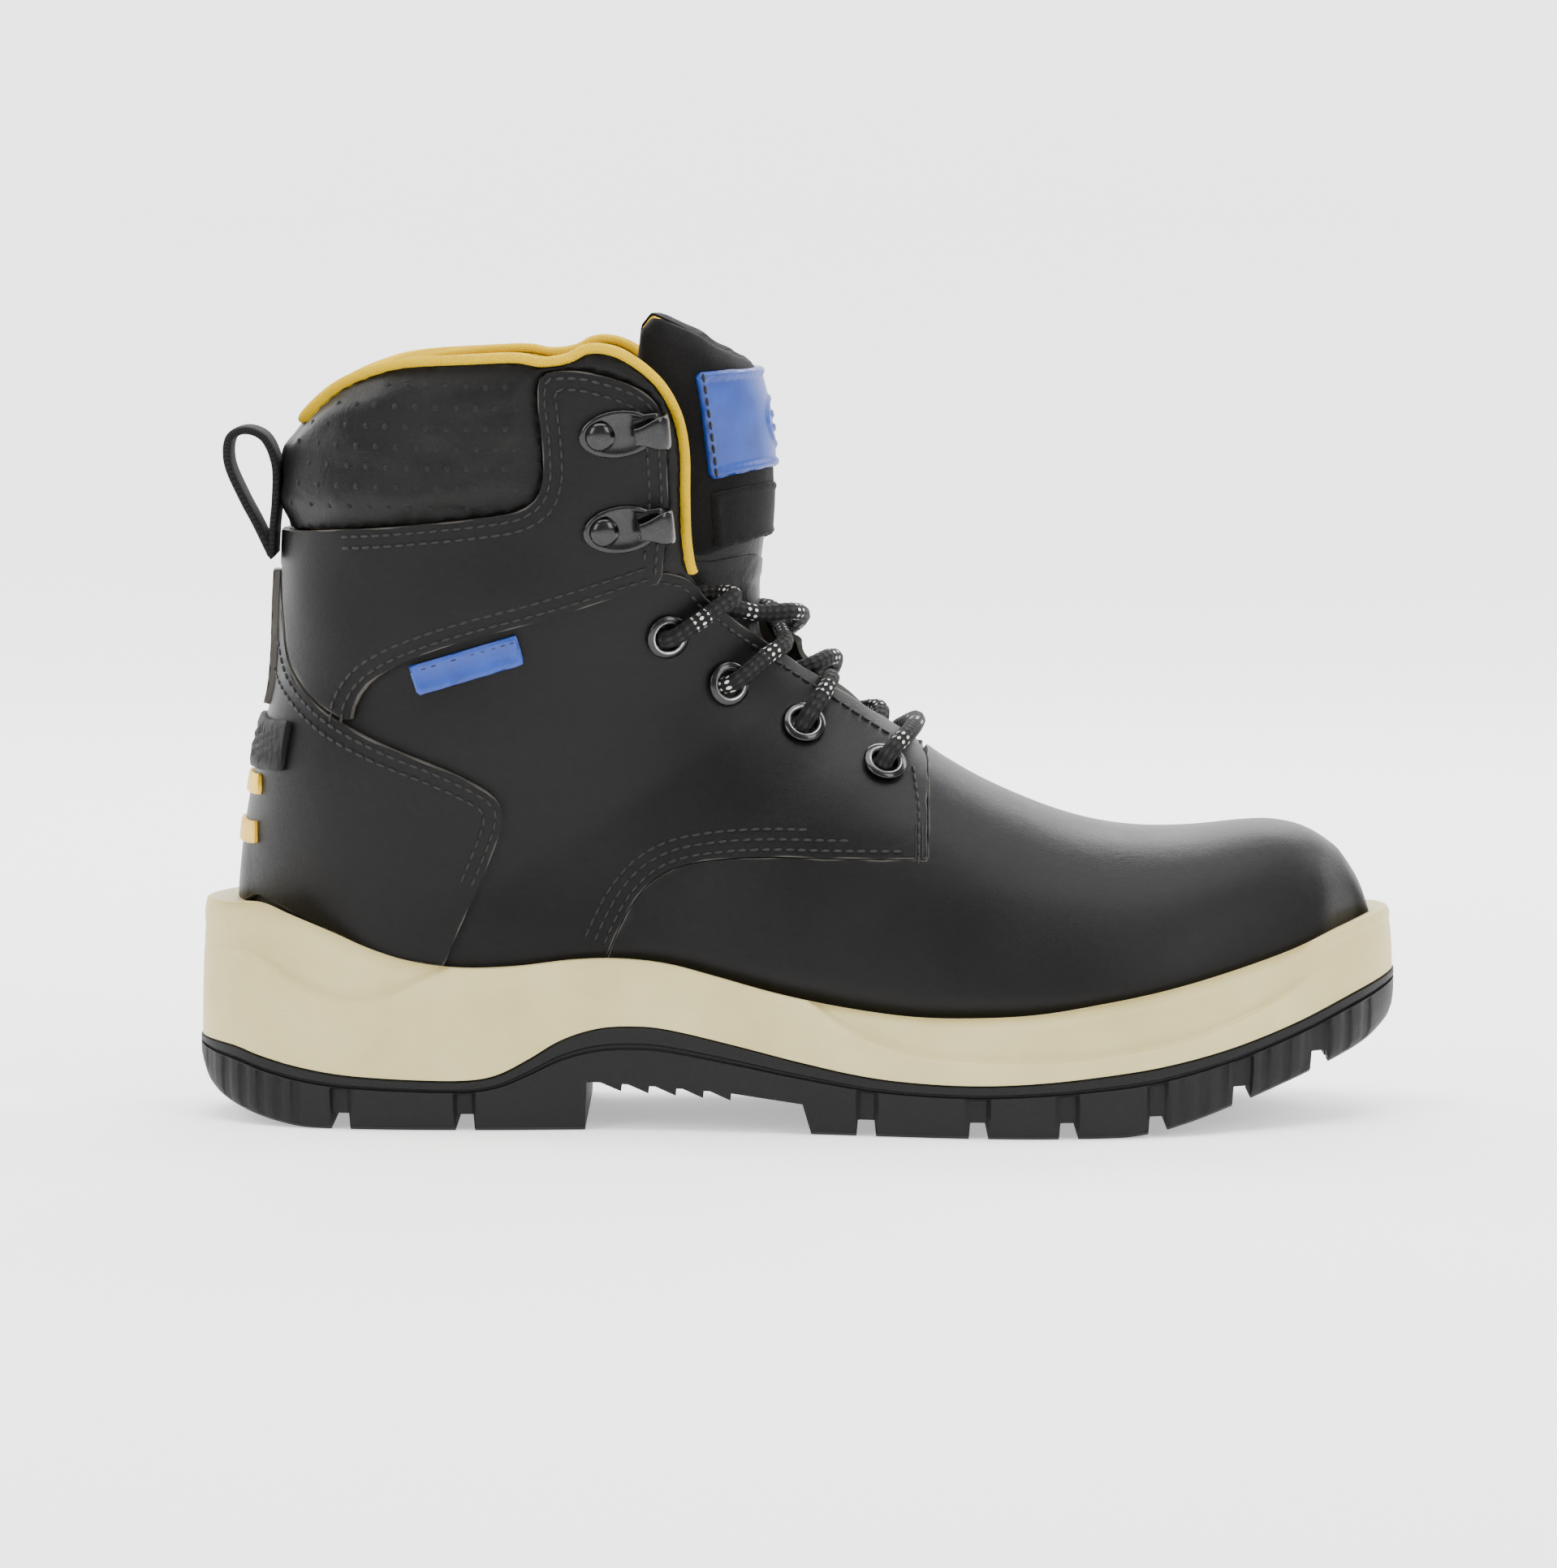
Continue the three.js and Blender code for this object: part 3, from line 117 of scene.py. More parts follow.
def softbox(name, place, aim, width, height, watts):
    lamp = bpy.data.lights.new(name, "AREA")
    lamp.shape = "RECTANGLE"
    lamp.size, lamp.size_y, lamp.energy = width, height, watts
    box = bpy.data.objects.new(name, lamp)
    box.location = place
    box.rotation_euler = (Vector(aim) - Vector(place)).to_track_quat("-Z", "Y").to_euler()
    bpy.context.scene.collection.objects.link(box)
    box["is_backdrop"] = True


softbox("overhead", (0.0, -0.2, 1.35), (0, 0, 0.05), 1.3, 0.9, 26)
softbox("front_left", (-0.9, -1.25, 0.75), (0, 0, 0.08), 0.5, 0.9, 11)
softbox("front_right", (1.0, -1.1, 0.8), (0, 0, 0.08), 0.5, 0.9, 12)
softbox("back_rim", (0.1, 1.0, 0.9), (0, 0, 0.1), 1.0, 0.5, 10)
softbox("backdrop_left", (-2.0, 0.9, 1.6), (0, 2.9, 0.9), 1.6, 1.6, 85)
softbox("backdrop_right", (2.0, 0.9, 1.6), (0, 2.9, 0.9), 1.6, 1.6, 85)

camera_data = bpy.data.cameras.new("camera")
camera_data.lens = 153.0
camera_data.sensor_width = 36.0
camera_data.sensor_fit = "AUTO"
camera_data.clip_start = 0.05
camera = bpy.data.objects.new("camera", camera_data)
camera.location = (-0.005, -1.7, 0.245)
camera.rotation_euler = (Vector((-0.005, 0, 0.0846)) - camera.location).to_track_quat("-Z", "Y").to_euler()
bpy.context.scene.collection.objects.link(camera)
bpy.context.scene.camera = camera

# ---- Outsole: one-piece black rubber tread, vulcanised, with an arch and cleated heel and toe ---
# Its plan and levels are shared with the midsole that is moulded on to it. All sizes in millimetres.

HALF_SOLE = 153.5


def flow(points, count):
    """Points along a smooth line through a few chosen ones."""
    p = np.array(points, float)
    t = np.linspace(0, len(p) - 1, count + 1)
    i = np.minimum(t.astype(int), len(p) - 2)
    w = (t - i)[:, None]
    a, b, c, d = p[np.maximum(i - 1, 0)], p[i], p[i + 1], p[np.minimum(i + 2, len(p) - 1)]
    v0, v1 = (c - a) / 2, (d - b) / 2
    return (2 * b - 2 * c + v0 + v1) * w ** 3 + (3 * c - 3 * b - 2 * v0 - v1) * w ** 2 + v0 * w + b


def curve_of(pairs):
    """A smooth function of one number through a few chosen (x, value) pairs."""
    line = flow(pairs, len(pairs) * 12)
    return lambda x: np.interp(x, line[:, 0], line[:, 1])


def ease(low, high, x):
    t = np.clip((x - low) / (high - low), 0, 1)
    return t * t * (3 - 2 * t)


base_half_width = curve_of([
    (-154, 37), (-115, 38.7), (-77, 37.8), (-43, 36), (0, 41), (38, 49.5), (64, 52.5), (92, 51), (123, 42.5),
    (154, 35)])
centre_line = curve_of([(-154, 2), (-100, 2), (-40, 0.5), (0, -1.5), (50, -0.5), (100, 3), (154, 6)])
seat_level = curve_of([
    (-154, 29), (-120, 27), (-85, 27), (-60, 31), (-40, 32.5), (-20, 29.5), (0, 26), (30, 22), (60, 22), (90, 25.5),
    (120, 33), (154, 43)])
feather_level = curve_of([
    (-154, 55.5), (-144, 55.8), (-136, 56.4), (-128, 53.6), (-118, 49.8), (-108, 45.6), (-98, 42.6), (-86, 41),
    (-72, 41.3), (-57, 42.9), (-45, 43.2), (-33, 42), (-21, 39.1), (-5, 35), (11, 32), (28, 30.1), (44, 30), (60, 31),
    (76, 33.5), (92, 36.5), (109, 40.6), (125, 45.2), (137, 49.8), (147, 52.4), (154, 53)])
sole_joint = curve_of([
    (-154, 20.5), (-144, 19.8), (-136, 17.6), (-126, 15.3), (-114, 13.6), (-98, 12.7), (-84, 12.6), (-76, 14),
    (-68, 18), (-60, 22.7), (-51, 25.6), (-42, 26.3), (-33, 25.6), (-17, 22.2), (0, 18.2), (15, 15.2), (28, 13.8),
    (44, 13.3), (60, 14), (76, 15.6), (92, 17.8), (109, 21.5), (125, 26.6), (141, 33), (154, 37.5)])
tread_curve = curve_of([
    (-154, 13.5), (-150, 8.5), (-146, 5.8), (-139, 3), (-131, 1), (-122, 0), (-100, 0), (0, 0), (70, 0), (86, 0.6),
    (97, 3), (109, 6.8), (121, 11), (133, 15.5), (145, 20.5), (154, 26.5)])


def tread_level(x):
    return np.maximum(0, tread_curve(x))


def sole_half_width(x, inset=0.0):
    end = np.sqrt(np.clip(1 - np.abs(x / (HALF_SOLE - inset)) ** 7, 0, 1))
    return np.maximum(0.2, base_half_width(x) * end - inset * end)


def loft(rings, closed_ends=True):
    """Vertices and faces of a solid through rings of equal length, with a fan over each end."""
    n = len(rings[0])
    vertices = [np.array(r, float) for r in rings]
    faces = []
    for i in range(len(rings) - 1):
        for j in range(n):
            k = (j + 1) % n
            faces.append((i * n + j, i * n + k, (i + 1) * n + k, (i + 1) * n + j))
    if closed_ends:
        for first, ring, flip in ((0, rings[0], True), ((len(rings) - 1) * n, rings[-1], False)):
            middle = sum(len(v) for v in vertices)
            vertices.append(np.mean(ring, axis=0)[None])
            for j in range(n):
                face = (first + j, first + (j + 1) % n, middle)
                faces.append(face[::-1] if flip else face)
    return np.vstack(vertices), faces


def slab(rings):
    """A solid through plan rings that run lateral side first, closed by a strip over its top and bottom."""
    n = len(rings[0])
    vertices, faces = loft(rings, closed_ends=False)
    for first, flip in ((0, True), ((len(rings) - 1) * n, False)):
        for j in range(n // 2 - 1):
            a, b, c, d = first + j, first + j + 1, first + n - 2 - j, first + n - 1 - j
            face = (a, b, d) if b == c else (a, b, c, d)
            faces.append(face[::-1] if flip else face)
    return vertices, faces


def plan_ring(height, inset, stations=150, relief=None):
    """One ring round the sole. height is a function of x; relief pushes the wall in by x and side."""
    reach = HALF_SOLE - inset
    x = -reach * np.cos(np.pi * np.arange(stations) / (stations - 1))
    w = sole_half_width(x, inset)
    pull = np.zeros_like(x) if relief is None else relief(x)
    w = np.maximum(0.2, w - pull * np.minimum(1, w / 12))
    z = height(x)
    lateral = np.column_stack([x, centre_line(x) - w, z])
    return np.vstack([lateral, np.column_stack([x, centre_line(x) + w, z])[::-1]])


def mesh_object(name, vertices, faces, finish, smooth_angle=40, attributes=None):
    """A mesh from millimetres at the origin, its faces turned outwards."""
    mesh = bpy.data.meshes.new(name)
    mesh.from_pydata((np.asarray(vertices) * 0.001).tolist(), [], [tuple(int(i) for i in f) for f in faces])
    for key, values in (attributes or {}).items():
        layer = mesh.attributes.new(key, "FLOAT", "POINT")
        layer.data.foreach_set("value", np.asarray(values, np.float32))
    bm = bmesh.new()
    bm.from_mesh(mesh)
    bmesh.ops.recalc_face_normals(bm, faces=bm.faces)
    bm.to_mesh(mesh)
    bm.free()
    mesh.materials.append(finish)
    mesh.set_sharp_from_angle(angle=math.radians(smooth_angle))
    made = bpy.data.objects.new(name, mesh)
    bpy.context.scene.collection.objects.link(made)
    return made


def stands_for(piece, body, slot_name, *nodes):
    """Ties a piece to its body and hides the CAD nodes that it shows. slot_name is not used."""
    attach(piece, body)
    if nodes:
        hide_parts(*nodes)
    return piece


def prism(outline, low=-90.0, high=90.0):
    """A side-view outline pushed across the boot."""
    near = [(x, low, z) for x, z in outline]
    far = [(x, high, z) for x, z in outline]
    n = len(outline)
    faces = [tuple(range(n)), tuple(range(2 * n - 1, n - 1, -1))]
    faces += [(i, n + i, n + (i + 1) % n, (i + 1) % n) for i in range(n)]
    return near + far, faces


def cut(piece, solids):
    """Takes solids away from a piece by boolean difference."""
    vertices, faces = [], []
    for v, f in solids:
        faces += [tuple(i + len(vertices) for i in face) for face in f]
        vertices += list(v)
    tool = mesh_object("cutter", vertices, faces, piece.data.materials[0])
    modifier = piece.modifiers.new("cut", "BOOLEAN")
    modifier.operation, modifier.solver, modifier.object, modifier.use_self = "DIFFERENCE", "EXACT", tool, True
    result = bpy.data.meshes.new_from_object(piece.evaluated_get(bpy.context.evaluated_depsgraph_get()))
    piece.modifiers.clear()
    old, piece.data = piece.data, result
    bpy.data.meshes.remove(old)
    bpy.data.objects.remove(tool)


def object_pattern(tree):
    return node(tree, "ShaderNodeTexCoord").outputs["Object"]


def ramp(tree, source, stops):
    """A colour ramp over a number, from (place, colour) stops."""
    made = node(tree, "ShaderNodeValToRGB", {"Fac": source})
    made.color_ramp.elements[0].position, made.color_ramp.elements[0].color = stops[0]
    made.color_ramp.elements[1].position, made.color_ramp.elements[1].color = stops[-1]
    for place, colour in stops[1:-1]:
        made.color_ramp.elements.new(place).color = colour
    return made.outputs["Color"]


def bumped(tree, shader, height, strength, distance, below=None):
    links = {"Height": height, "Strength": strength, "Distance": distance}
    if below is not None:
        links["Normal"] = below
    made = node(tree, "ShaderNodeBump", links)
    tree.links.new(made.outputs["Normal"], shader.inputs["Normal"])
    return made.outputs["Normal"]


# Vulcanised black rubber: deep black, slightly greyed at random, fine mould grain.
tread_rubber, tree, shader = material("Vulcanised black rubber")
place = object_pattern(tree)
dust = node(tree, "ShaderNodeTexNoise", {"Vector": place, "Scale": 38.0, "Detail": 6.0, "Roughness": 0.62})
tree.links.new(ramp(tree, dust.outputs["Fac"], [(0.3, linear("#060606")), (0.72, linear("#0F0F0F"))]),
               shader.inputs["Base Color"])
tree.links.new(ramp(tree, dust.outputs["Fac"], [(0.25, (0.52,) * 3 + (1,)), (0.8, (0.74,) * 3 + (1,))]),
               shader.inputs["Roughness"])
shader.inputs["Specular IOR Level"].default_value = 0.25
pores = node(tree, "ShaderNodeTexNoise", {"Vector": place, "Scale": 1400.0, "Detail": 3.0})
bumped(tree, shader, pores.outputs["Fac"], 0.35, 0.00025)

HEEL_BREAST, TREAD_FRONT = -54.0, 3.0
CROSS_GROOVES = [-115.5, -84, 17, 45, 67.5, 90, 111.5, 132]


def wall_notches(depth):
    """The side wall's shallow vertical notches, between the full-height grooves."""
    def relief(x):
        pulled = np.zeros_like(x)
        for groove in CROSS_GROOVES:
            pulled = np.maximum(pulled, depth * (1 - ease(2.1, 2.9, np.abs(x - groove))))
        for tooth in list(np.arange(-150, -124, 4.6)) + list(np.arange(96, 150, 5.4)):
            pulled = np.maximum(pulled, 0.5 * depth * (1 - ease(0.7, 1.5, np.abs(x - tooth))))
        return pulled
    return relief


between = lambda t: lambda x: tread_level(x) * (1 - t) + sole_joint(x) * t
dense = dict(stations=420)
outsole_rings = [
    plan_ring(tread_level, 2.6, **dense),
    plan_ring(lambda x: tread_level(x) + 0.8, 1.2, **dense),
    plan_ring(lambda x: tread_level(x) + 2.4, 0.5, relief=wall_notches(1.3), **dense),
    plan_ring(between(0.45), 0.15, relief=wall_notches(1.5), **dense),
    plan_ring(between(0.74), 0.1, relief=wall_notches(1.5), **dense),
    plan_ring(between(0.78), 0.1, relief=wall_notches(0.2), **dense),
    plan_ring(between(0.8), 0.9, **dense),
    plan_ring(between(0.83), 0.9, **dense),
    plan_ring(between(0.85), 0.1, **dense),
    plan_ring(between(0.98), 0.1, **dense),
    plan_ring(sole_joint, 0.7, **dense),
]
outsole = mesh_object("outsole_rubber", *slab(outsole_rings), tread_rubber, 32)

arch = [(HEEL_BREAST, -5), (HEEL_BREAST + 0.6, 12.4)]
for i in range(5):
    x, root = HEEL_BREAST + (i + 0.6) * 6.9, 12.3 - 0.45 * i
    arch += [(x, root), (x + 6.9 * 0.75, root - 2.2), (x + 6.9 * 0.78, root - 0.4)]
arch += [(TREAD_FRONT - 2, 7.8), (TREAD_FRONT, 1), (TREAD_FRONT + 1, -5)]
grooves = [prism(arch)]
for x in CROSS_GROOVES:
    low = float(tread_level(x))
    grooves.append(prism([(x - 2.75, low - 4), (x + 2.75, low - 4), (x + 2.1, low + 4.2), (x - 2.1, low + 4.2)]))
for start, end, y in ((-135, -62, 2), (12, 138, -14), (12, 138, 16)):
    xs = np.linspace(start, end, 14)
    outline = [(x, float(tread_level(x)) - 3) for x in xs] + [(x, float(tread_level(x)) + 3.4) for x in xs[::-1]]
    grooves.append(prism(outline, y - 2.5, y + 2.5))
cut(outsole, grooves)
outsole.data.set_sharp_from_angle(angle=math.radians(32))
stands_for(outsole, "boot", "rubber_black", "outsole")

# ---- Midsole: cream foamed polyurethane, injected round the lasted upper --------------------------
# A rounded lip laps the upper; a wave ledge steps down at the heel and a long swoosh at the forefoot.

foam_sole, tree, shader = material("Injected polyurethane foam")
place = object_pattern(tree)
cloud = node(tree, "ShaderNodeTexNoise", {"Vector": place, "Scale": 26.0, "Detail": 5.0, "Roughness": 0.6})
cream = ramp(tree, cloud.outputs["Fac"], [(0.3, linear("#B3A56C")), (0.55, linear("#BFB27B")),
                                          (0.75, linear("#CABE89"))])
scuff_place = node(tree, "ShaderNodeMapping", {"Vector": place, "Scale": (60.0, 60.0, 420.0)})
scuffs = node(tree, "ShaderNodeTexNoise",
              {"Vector": scuff_place.outputs["Vector"], "Scale": 1.0, "Detail": 5.0, "Roughness": 0.7})
scuff_mask = ramp(tree, scuffs.outputs["Fac"], [(0.68, (0,) * 3 + (1,)), (0.76, (1,) * 3 + (1,))])
low_band = node(tree, "ShaderNodeAttribute", attribute_name="lower")
marks = node(tree, "ShaderNodeMath", {0: scuff_mask, 1: low_band.outputs["Fac"]}, operation="MULTIPLY")
dirty = node(tree, "ShaderNodeMix", {"Factor": marks.outputs[0], "A": cream, "B": linear("#8F8A6C")},
             data_type="RGBA")
tree.links.new(dirty.outputs["Result"], shader.inputs["Base Color"])
shader.inputs["Roughness"].default_value = 0.52
shader.inputs["Subsurface Weight"].default_value = 0.06
shader.inputs["Subsurface Scale"].default_value = 0.002
skin = node(tree, "ShaderNodeTexNoise", {"Vector": place, "Scale": 900.0, "Detail": 4.0})
soft = bumped(tree, shader, skin.outputs["Fac"], 0.16, 0.0003)
bumped(tree, shader, cloud.outputs["Fac"], 0.2, 0.0012, soft)

heel_ledge = curve_of([(-154, 42), (-146, 43.6), (-138, 42.8), (-128, 37.2), (-118, 33), (-106, 33.8), (-96, 38),
                       (-88, 41), (-80, 44)])
front_ledge = curve_of([(-2, 37), (6, 31), (16, 25), (30, 20.8), (44, 19.6), (70, 20), (96, 24), (112, 29),
                        (126, 36), (136, 45)])


def ledge_step(x, z):
    """How far the wall stands in, in millimetres: the face above a ledge is set back from the one below."""
    back = 2.2 * ease(-0.6, 0.6, z - heel_ledge(x)) * (1 - ease(-92, -82, x))
    front = 2.2 * ease(-0.6, 0.6, z - front_ledge(x)) * ease(-3, 6, x) * (1 - ease(124, 134, x))
    return back + front


WALL_STEPS = 64
stations = 300
wall_rings, lower_share = [], []
for i in range(WALL_STEPS + 1):
    t = i / WALL_STEPS
    height = lambda x, t=t: sole_joint(x) + 0.3 + (feather_level(x) - sole_joint(x) - 0.3) * t
    lip = 0.35 * math.sin(math.pi * min(1, max(0, (t - 0.8) / 0.2)))
    batter = 0.5 + 1.4 * t ** 2 - lip
    relief = lambda x, height=height: ledge_step(x, height(x))
    wall_rings.append(plan_ring(height, batter, stations, relief))
    lower_share.append(1 - ease(0.25, 0.5, t))
for depth, inset in ((0.25, 2.5), (0.3, 3.2), (0.1, 4.2), (-0.4, 6.5), (-1.2, 10), (-2.2, 14)):
    wall_rings.append(plan_ring(lambda x, depth=depth: feather_level(x) + depth, inset, stations))
    lower_share.append(0.0)
vertices, faces = slab(wall_rings)
midsole = mesh_object("midsole_foam", vertices, faces, foam_sole, 60,
                      {"lower": np.repeat(lower_share, 2 * stations)})

# ---- The last: the form that the upper is pulled over -------------------------------------------
# Half-planes fan out from a pivot in front of the ankle. Each crosses the ridge and the base once, and
# every panel lies on the form at its own level, measured outwards in millimetres.

PIVOT_X, PIVOT_Z = 107.0, 175.0
ridge_line = flow([
    (146.6, 46), (147.3, 52), (145.6, 58), (142, 64), (137, 69), (130, 73.3), (122, 75.2), (113.6, 75), (105, 74),
    (97, 73.4), (88.7, 73.4), (80.3, 74.3), (72, 76), (63.7, 78.6), (55.4, 82), (47, 86), (40, 90), (33, 94.5),
    (24.5, 101.5), (16, 108.5), (8, 114.5), (2, 120), (-1, 128), (0, 138), (1.5, 150), (2, 163), (1, 178), (-2, 192),
    (-7, 206), (-14, 222)], 300)
back_line = [
    (-141.8, 46), (-142.3, 54.5), (-141.3, 65), (-140.2, 73.5), (-138.9, 81.5), (-137.4, 89), (-135.7, 96),
    (-134, 102.5), (-132.4, 109), (-131.4, 119), (-130.9, 131), (-130.2, 142), (-129.8, 152), (-129.2, 160.5),
    (-128.2, 168.5), (-126.2, 177), (-123, 186), (-119, 196), (-114, 208), (-108, 222)]
under_foot = [(x, float(seat_level(x)) - 3) for x in (
    144, 132, 120, 105, 90, 75, 60, 45, 30, 15, 0, -15, -30, -45, -60, -75, -90, -105, -118, -128, -135)]
base_line = flow([(146.2, 42), *under_foot, (-139.5, 33), *back_line], 520)
back_at = curve_of([(z, x) for x, z in back_line])


def fan_angle(x, z):
    return np.arctan2(x - PIVOT_X, PIVOT_Z - z)


def crossing(line):
    angles = fan_angle(line[:, 0], line[:, 1])
    order = np.argsort(angles, kind="stable")
    return lambda a: (np.interp(a, angles[order], line[order, 0]), np.interp(a, angles[order], line[order, 1]))


ridge_at, base_at = crossing(ridge_line), crossing(base_line)
TOE_ANGLE = min(fan_angle(*ridge_line[0]), fan_angle(*base_line[0]))
TOP_ANGLE = math.radians(-103)
HEEL_CORNER = fan_angle(-141.9, 47.0)
shaft_half_width = curve_of([(z, 39 * k) for z, k in (
    (60, 0.93), (90, 0.94), (115, 0.96), (140, 1), (165, 1.04), (185, 1.09), (200, 1.1), (225, 1.1))])
ridge_lean = curve_of([(math.radians(a), lean) for a, lean in (
    (-105, 0), (-92, 0), (-80, 3), (-68, 8), (-58, 12), (-48, 9), (-38, 5), (-25, 2), (0, 0), (20, 0))])


def half_width(x, z, along, angle):
    near = np.clip(x, -HALF_SOLE * 0.9, HALF_SOLE - 7.6)
    foot = (sole_half_width(near) - 4.5) * np.sqrt(np.clip((147.6 - x) / 14, 0, 1))
    raised = ease(55, 105, z) * (1 - ease(-20, 30, x))
    widest = foot + (shaft_half_width(z) - foot) * raised
    up = ease(-1.75, -0.7, angle)
    from_ridge = np.clip(along / (0.42 + 0.44 * up), 0, 1)
    ridge_round = (1 - (1 - from_ridge) ** 2) ** (0.5 - 0.08 * up)
    from_back = np.clip((x - back_at(z)) / 40, 0, 1)
    tuck = 0.9 + 0.1 * ease(0, 14, z - seat_level(x))
    return np.maximum(0.15, widest * ridge_round * np.sqrt(1 - (1 - from_back) ** 2) * tuck)


FAN, ROUND, TOE_REACH = 125.0, 108.0, 24.0


def form_point(angle, u):
    """Points of the last. u runs from -1, the lateral base, over 0, the ridge, to 1, the medial base.
    Past the toe angle the form closes forwards over the toe."""
    wanted, angle = angle, np.minimum(angle, TOE_ANGLE)
    (tx, tz), (bx, bz) = ridge_at(angle), base_at(angle)
    along = (1 - np.cos(np.pi * np.abs(u))) / 2
    x, z = tx + (bx - tx) * along, tz + (bz - tz) * along
    w = half_width(x, z, along, angle)
    lean = ridge_lean(angle) * (1 - np.clip(w / 38, 0, 1))
    skin = np.column_stack([x, centre_line(x) + lean + np.sign(u) * w, z])
    t = np.clip((wanted - TOE_ANGLE) * FAN / TOE_REACH, 0, 1)[:, None]
    root = np.array([142.5, float(centre_line(146.0)), 43.0])
    return skin + (root - skin) * t + np.array([0.956, 0, 0.29]) * 5.0 * np.sin(np.pi / 2 * np.minimum(1, 1.6 * t))


def form_normal(angle, u):
    side = np.where(u < 0, -1.0, 1.0)
    v = side * np.clip(np.abs(u), 0, 0.96)
    a = np.clip(angle, TOP_ANGLE, TOE_ANGLE + 0.15)
    n = np.cross(form_point(a + 0.012, v) - form_point(a - 0.012, v),
                 form_point(a, v + 0.02) - form_point(a, v - 0.02))
    rim = np.abs(u) > 0.97
    n[rim & (angle < HEEL_CORNER), 1] = 0
    n[rim & (angle >= HEEL_CORNER), 2] = 0
    return n / np.maximum(1e-9, np.linalg.norm(n, axis=1))[:, None]


def unrolled(points, side=-1, wrap="ridge"):
    """Side-view points on the flat plan of the form: along the fan, and round it from the ridge or from the back."""
    p = np.atleast_2d(np.asarray(points, float))
    angle = fan_angle(p[:, 0], p[:, 1])
    (tx, tz), (bx, bz) = ridge_at(angle), base_at(angle)
    along = np.clip(np.hypot(p[:, 0] - tx, p[:, 1] - tz) / np.hypot(bx - tx, bz - tz), 0, 1)
    v = np.arccos(1 - 2 * along) / np.pi
    return np.column_stack([angle * FAN, side * (v if wrap == "ridge" else 1 - v) * ROUND])


def rolled(plan, wrap="ridge"):
    """Points and outward directions of the form for points of the flat plan."""
    angle, s = plan[:, 0] / FAN, plan[:, 1] / ROUND
    u = s if wrap == "ridge" else np.where(s < 0, -1.0, 1.0) * (1 - np.abs(s))
    return form_point(angle, u), form_normal(angle, u)


def resampled(line, step, closed=False):
    p = np.asarray(line, float)
    if closed:
        p = np.vstack([p, p[:1]])
    run = np.concatenate([[0], np.cumsum(np.linalg.norm(np.diff(p, axis=0), axis=1))])
    keep = np.concatenate([[True], np.diff(run) > 1e-6])
    p, run = p[keep], run[keep]
    count = max(2, int(round(run[-1] / step)))
    at = np.linspace(0, run[-1], count + 1)
    out = np.column_stack([np.interp(at, run, p[:, k]) for k in range(p.shape[1])])
    return out[:-1] if closed else out


def inside(points, outline):
    """Which points lie inside a closed outline."""
    x, y = points[:, 0], points[:, 1]
    found = np.zeros(len(points), bool)
    for (x0, y0), (x1, y1) in zip(outline, np.roll(outline, -1, axis=0)):
        if y0 != y1:
            found ^= ((y0 > y) != (y1 > y)) & (x < (x1 - x0) * (y - y0) / (y1 - y0) + x0)
    return found


def nearest(points, targets):
    tree = kdtree.KDTree(len(targets))
    for i, t in enumerate(targets):
        tree.insert(t, i)
    tree.balance()
    return np.array([tree.find(p)[2] for p in points])


def panel(name, outline, finish, inner, outer, wrap="ridge", step=2.0, soft=0.5, swell=None, angle=50):
    """A closed sheet of the upper between two levels. outline is on the flat plan; swell adds to the outer face."""
    rim = resampled(outline, min(step, 1.5), closed=True)
    n = len(rim)
    lo, hi = rim.min(axis=0), rim.max(axis=0)
    rows = np.arange(lo[1], hi[1], step * 0.866)
    grid = np.array([(x + (step / 2) * (i % 2), y) for i,
                     y in enumerate(rows) for x in np.arange(lo[0], hi[0], step)])
    grid = grid[inside(grid, rim)]
    tangent = np.roll(rim, -1, axis=0) - np.roll(rim, 1, axis=0)
    inward = np.column_stack([-tangent[:, 1], tangent[:, 0]]) / np.maximum(1e-9, np.linalg.norm(tangent, axis=1))[:,
            None]
    if not inside(rim + inward * 0.05, rim).mean() > 0.5:
        inward = -inward
    bands = [rim + inward * k for k in ((0.3, 0.8) if soft < 1.2 else (soft * 0.12, soft * 0.35, soft * 0.7))]
    bands = [b[inside(b, rim)] for b in bands]
    clear = nearest(np.column_stack([grid, np.zeros(len(grid))]),
                    np.column_stack([np.vstack([rim, *bands]), np.zeros(n + sum(len(b) for b in bands))]))
    flat = np.vstack([rim, *bands, grid[clear > step * 0.45]])
    found = geometry.delaunay_2d_cdt([Vector(p) for p in flat], [(i, (i + 1) % n) for i in range(n)], [], 1, 1e-6)
    flat = np.array([tuple(v) for v in found[0]])
    triangles = np.array(found[2])
    triangles = triangles[inside(flat[triangles].mean(axis=1), rim)]
    point, normal = rolled(flat, wrap)
    edge_line, _ = rolled(resampled(outline, 0.7, closed=True), wrap)
    distance = nearest(point, edge_line)
    bevel = soft * (1 - np.sqrt(np.clip(1 - (1 - np.clip(distance / soft, 0, 1)) ** 2, 0, 1)))
    height = outer - np.minimum(bevel, (outer - inner) * 0.85)
    if swell is not None:
        height = height + swell(distance, point, flat)
    count = len(flat)
    edges = {}
    for a, b, c in triangles:
        for e in ((a, b), (b, c), (c, a)):
            edges[e] = True
    border = [(a, b) for a, b in edges if (b, a) not in edges]
    faces = triangles.tolist() + (triangles[:, ::-1] + count).tolist()
    faces += [(b, a, a + count, b + count) for a, b in border]
    vertices = np.vstack([point + normal * height[:, None], point + normal * inner])
    made = mesh_object(name, vertices, faces, finish, angle, {
        "edge": np.concatenate([distance, -np.ones(count)]),
        "along": np.tile(flat[:, 0], 2), "around": np.tile(flat[:, 1], 2)})
    return made


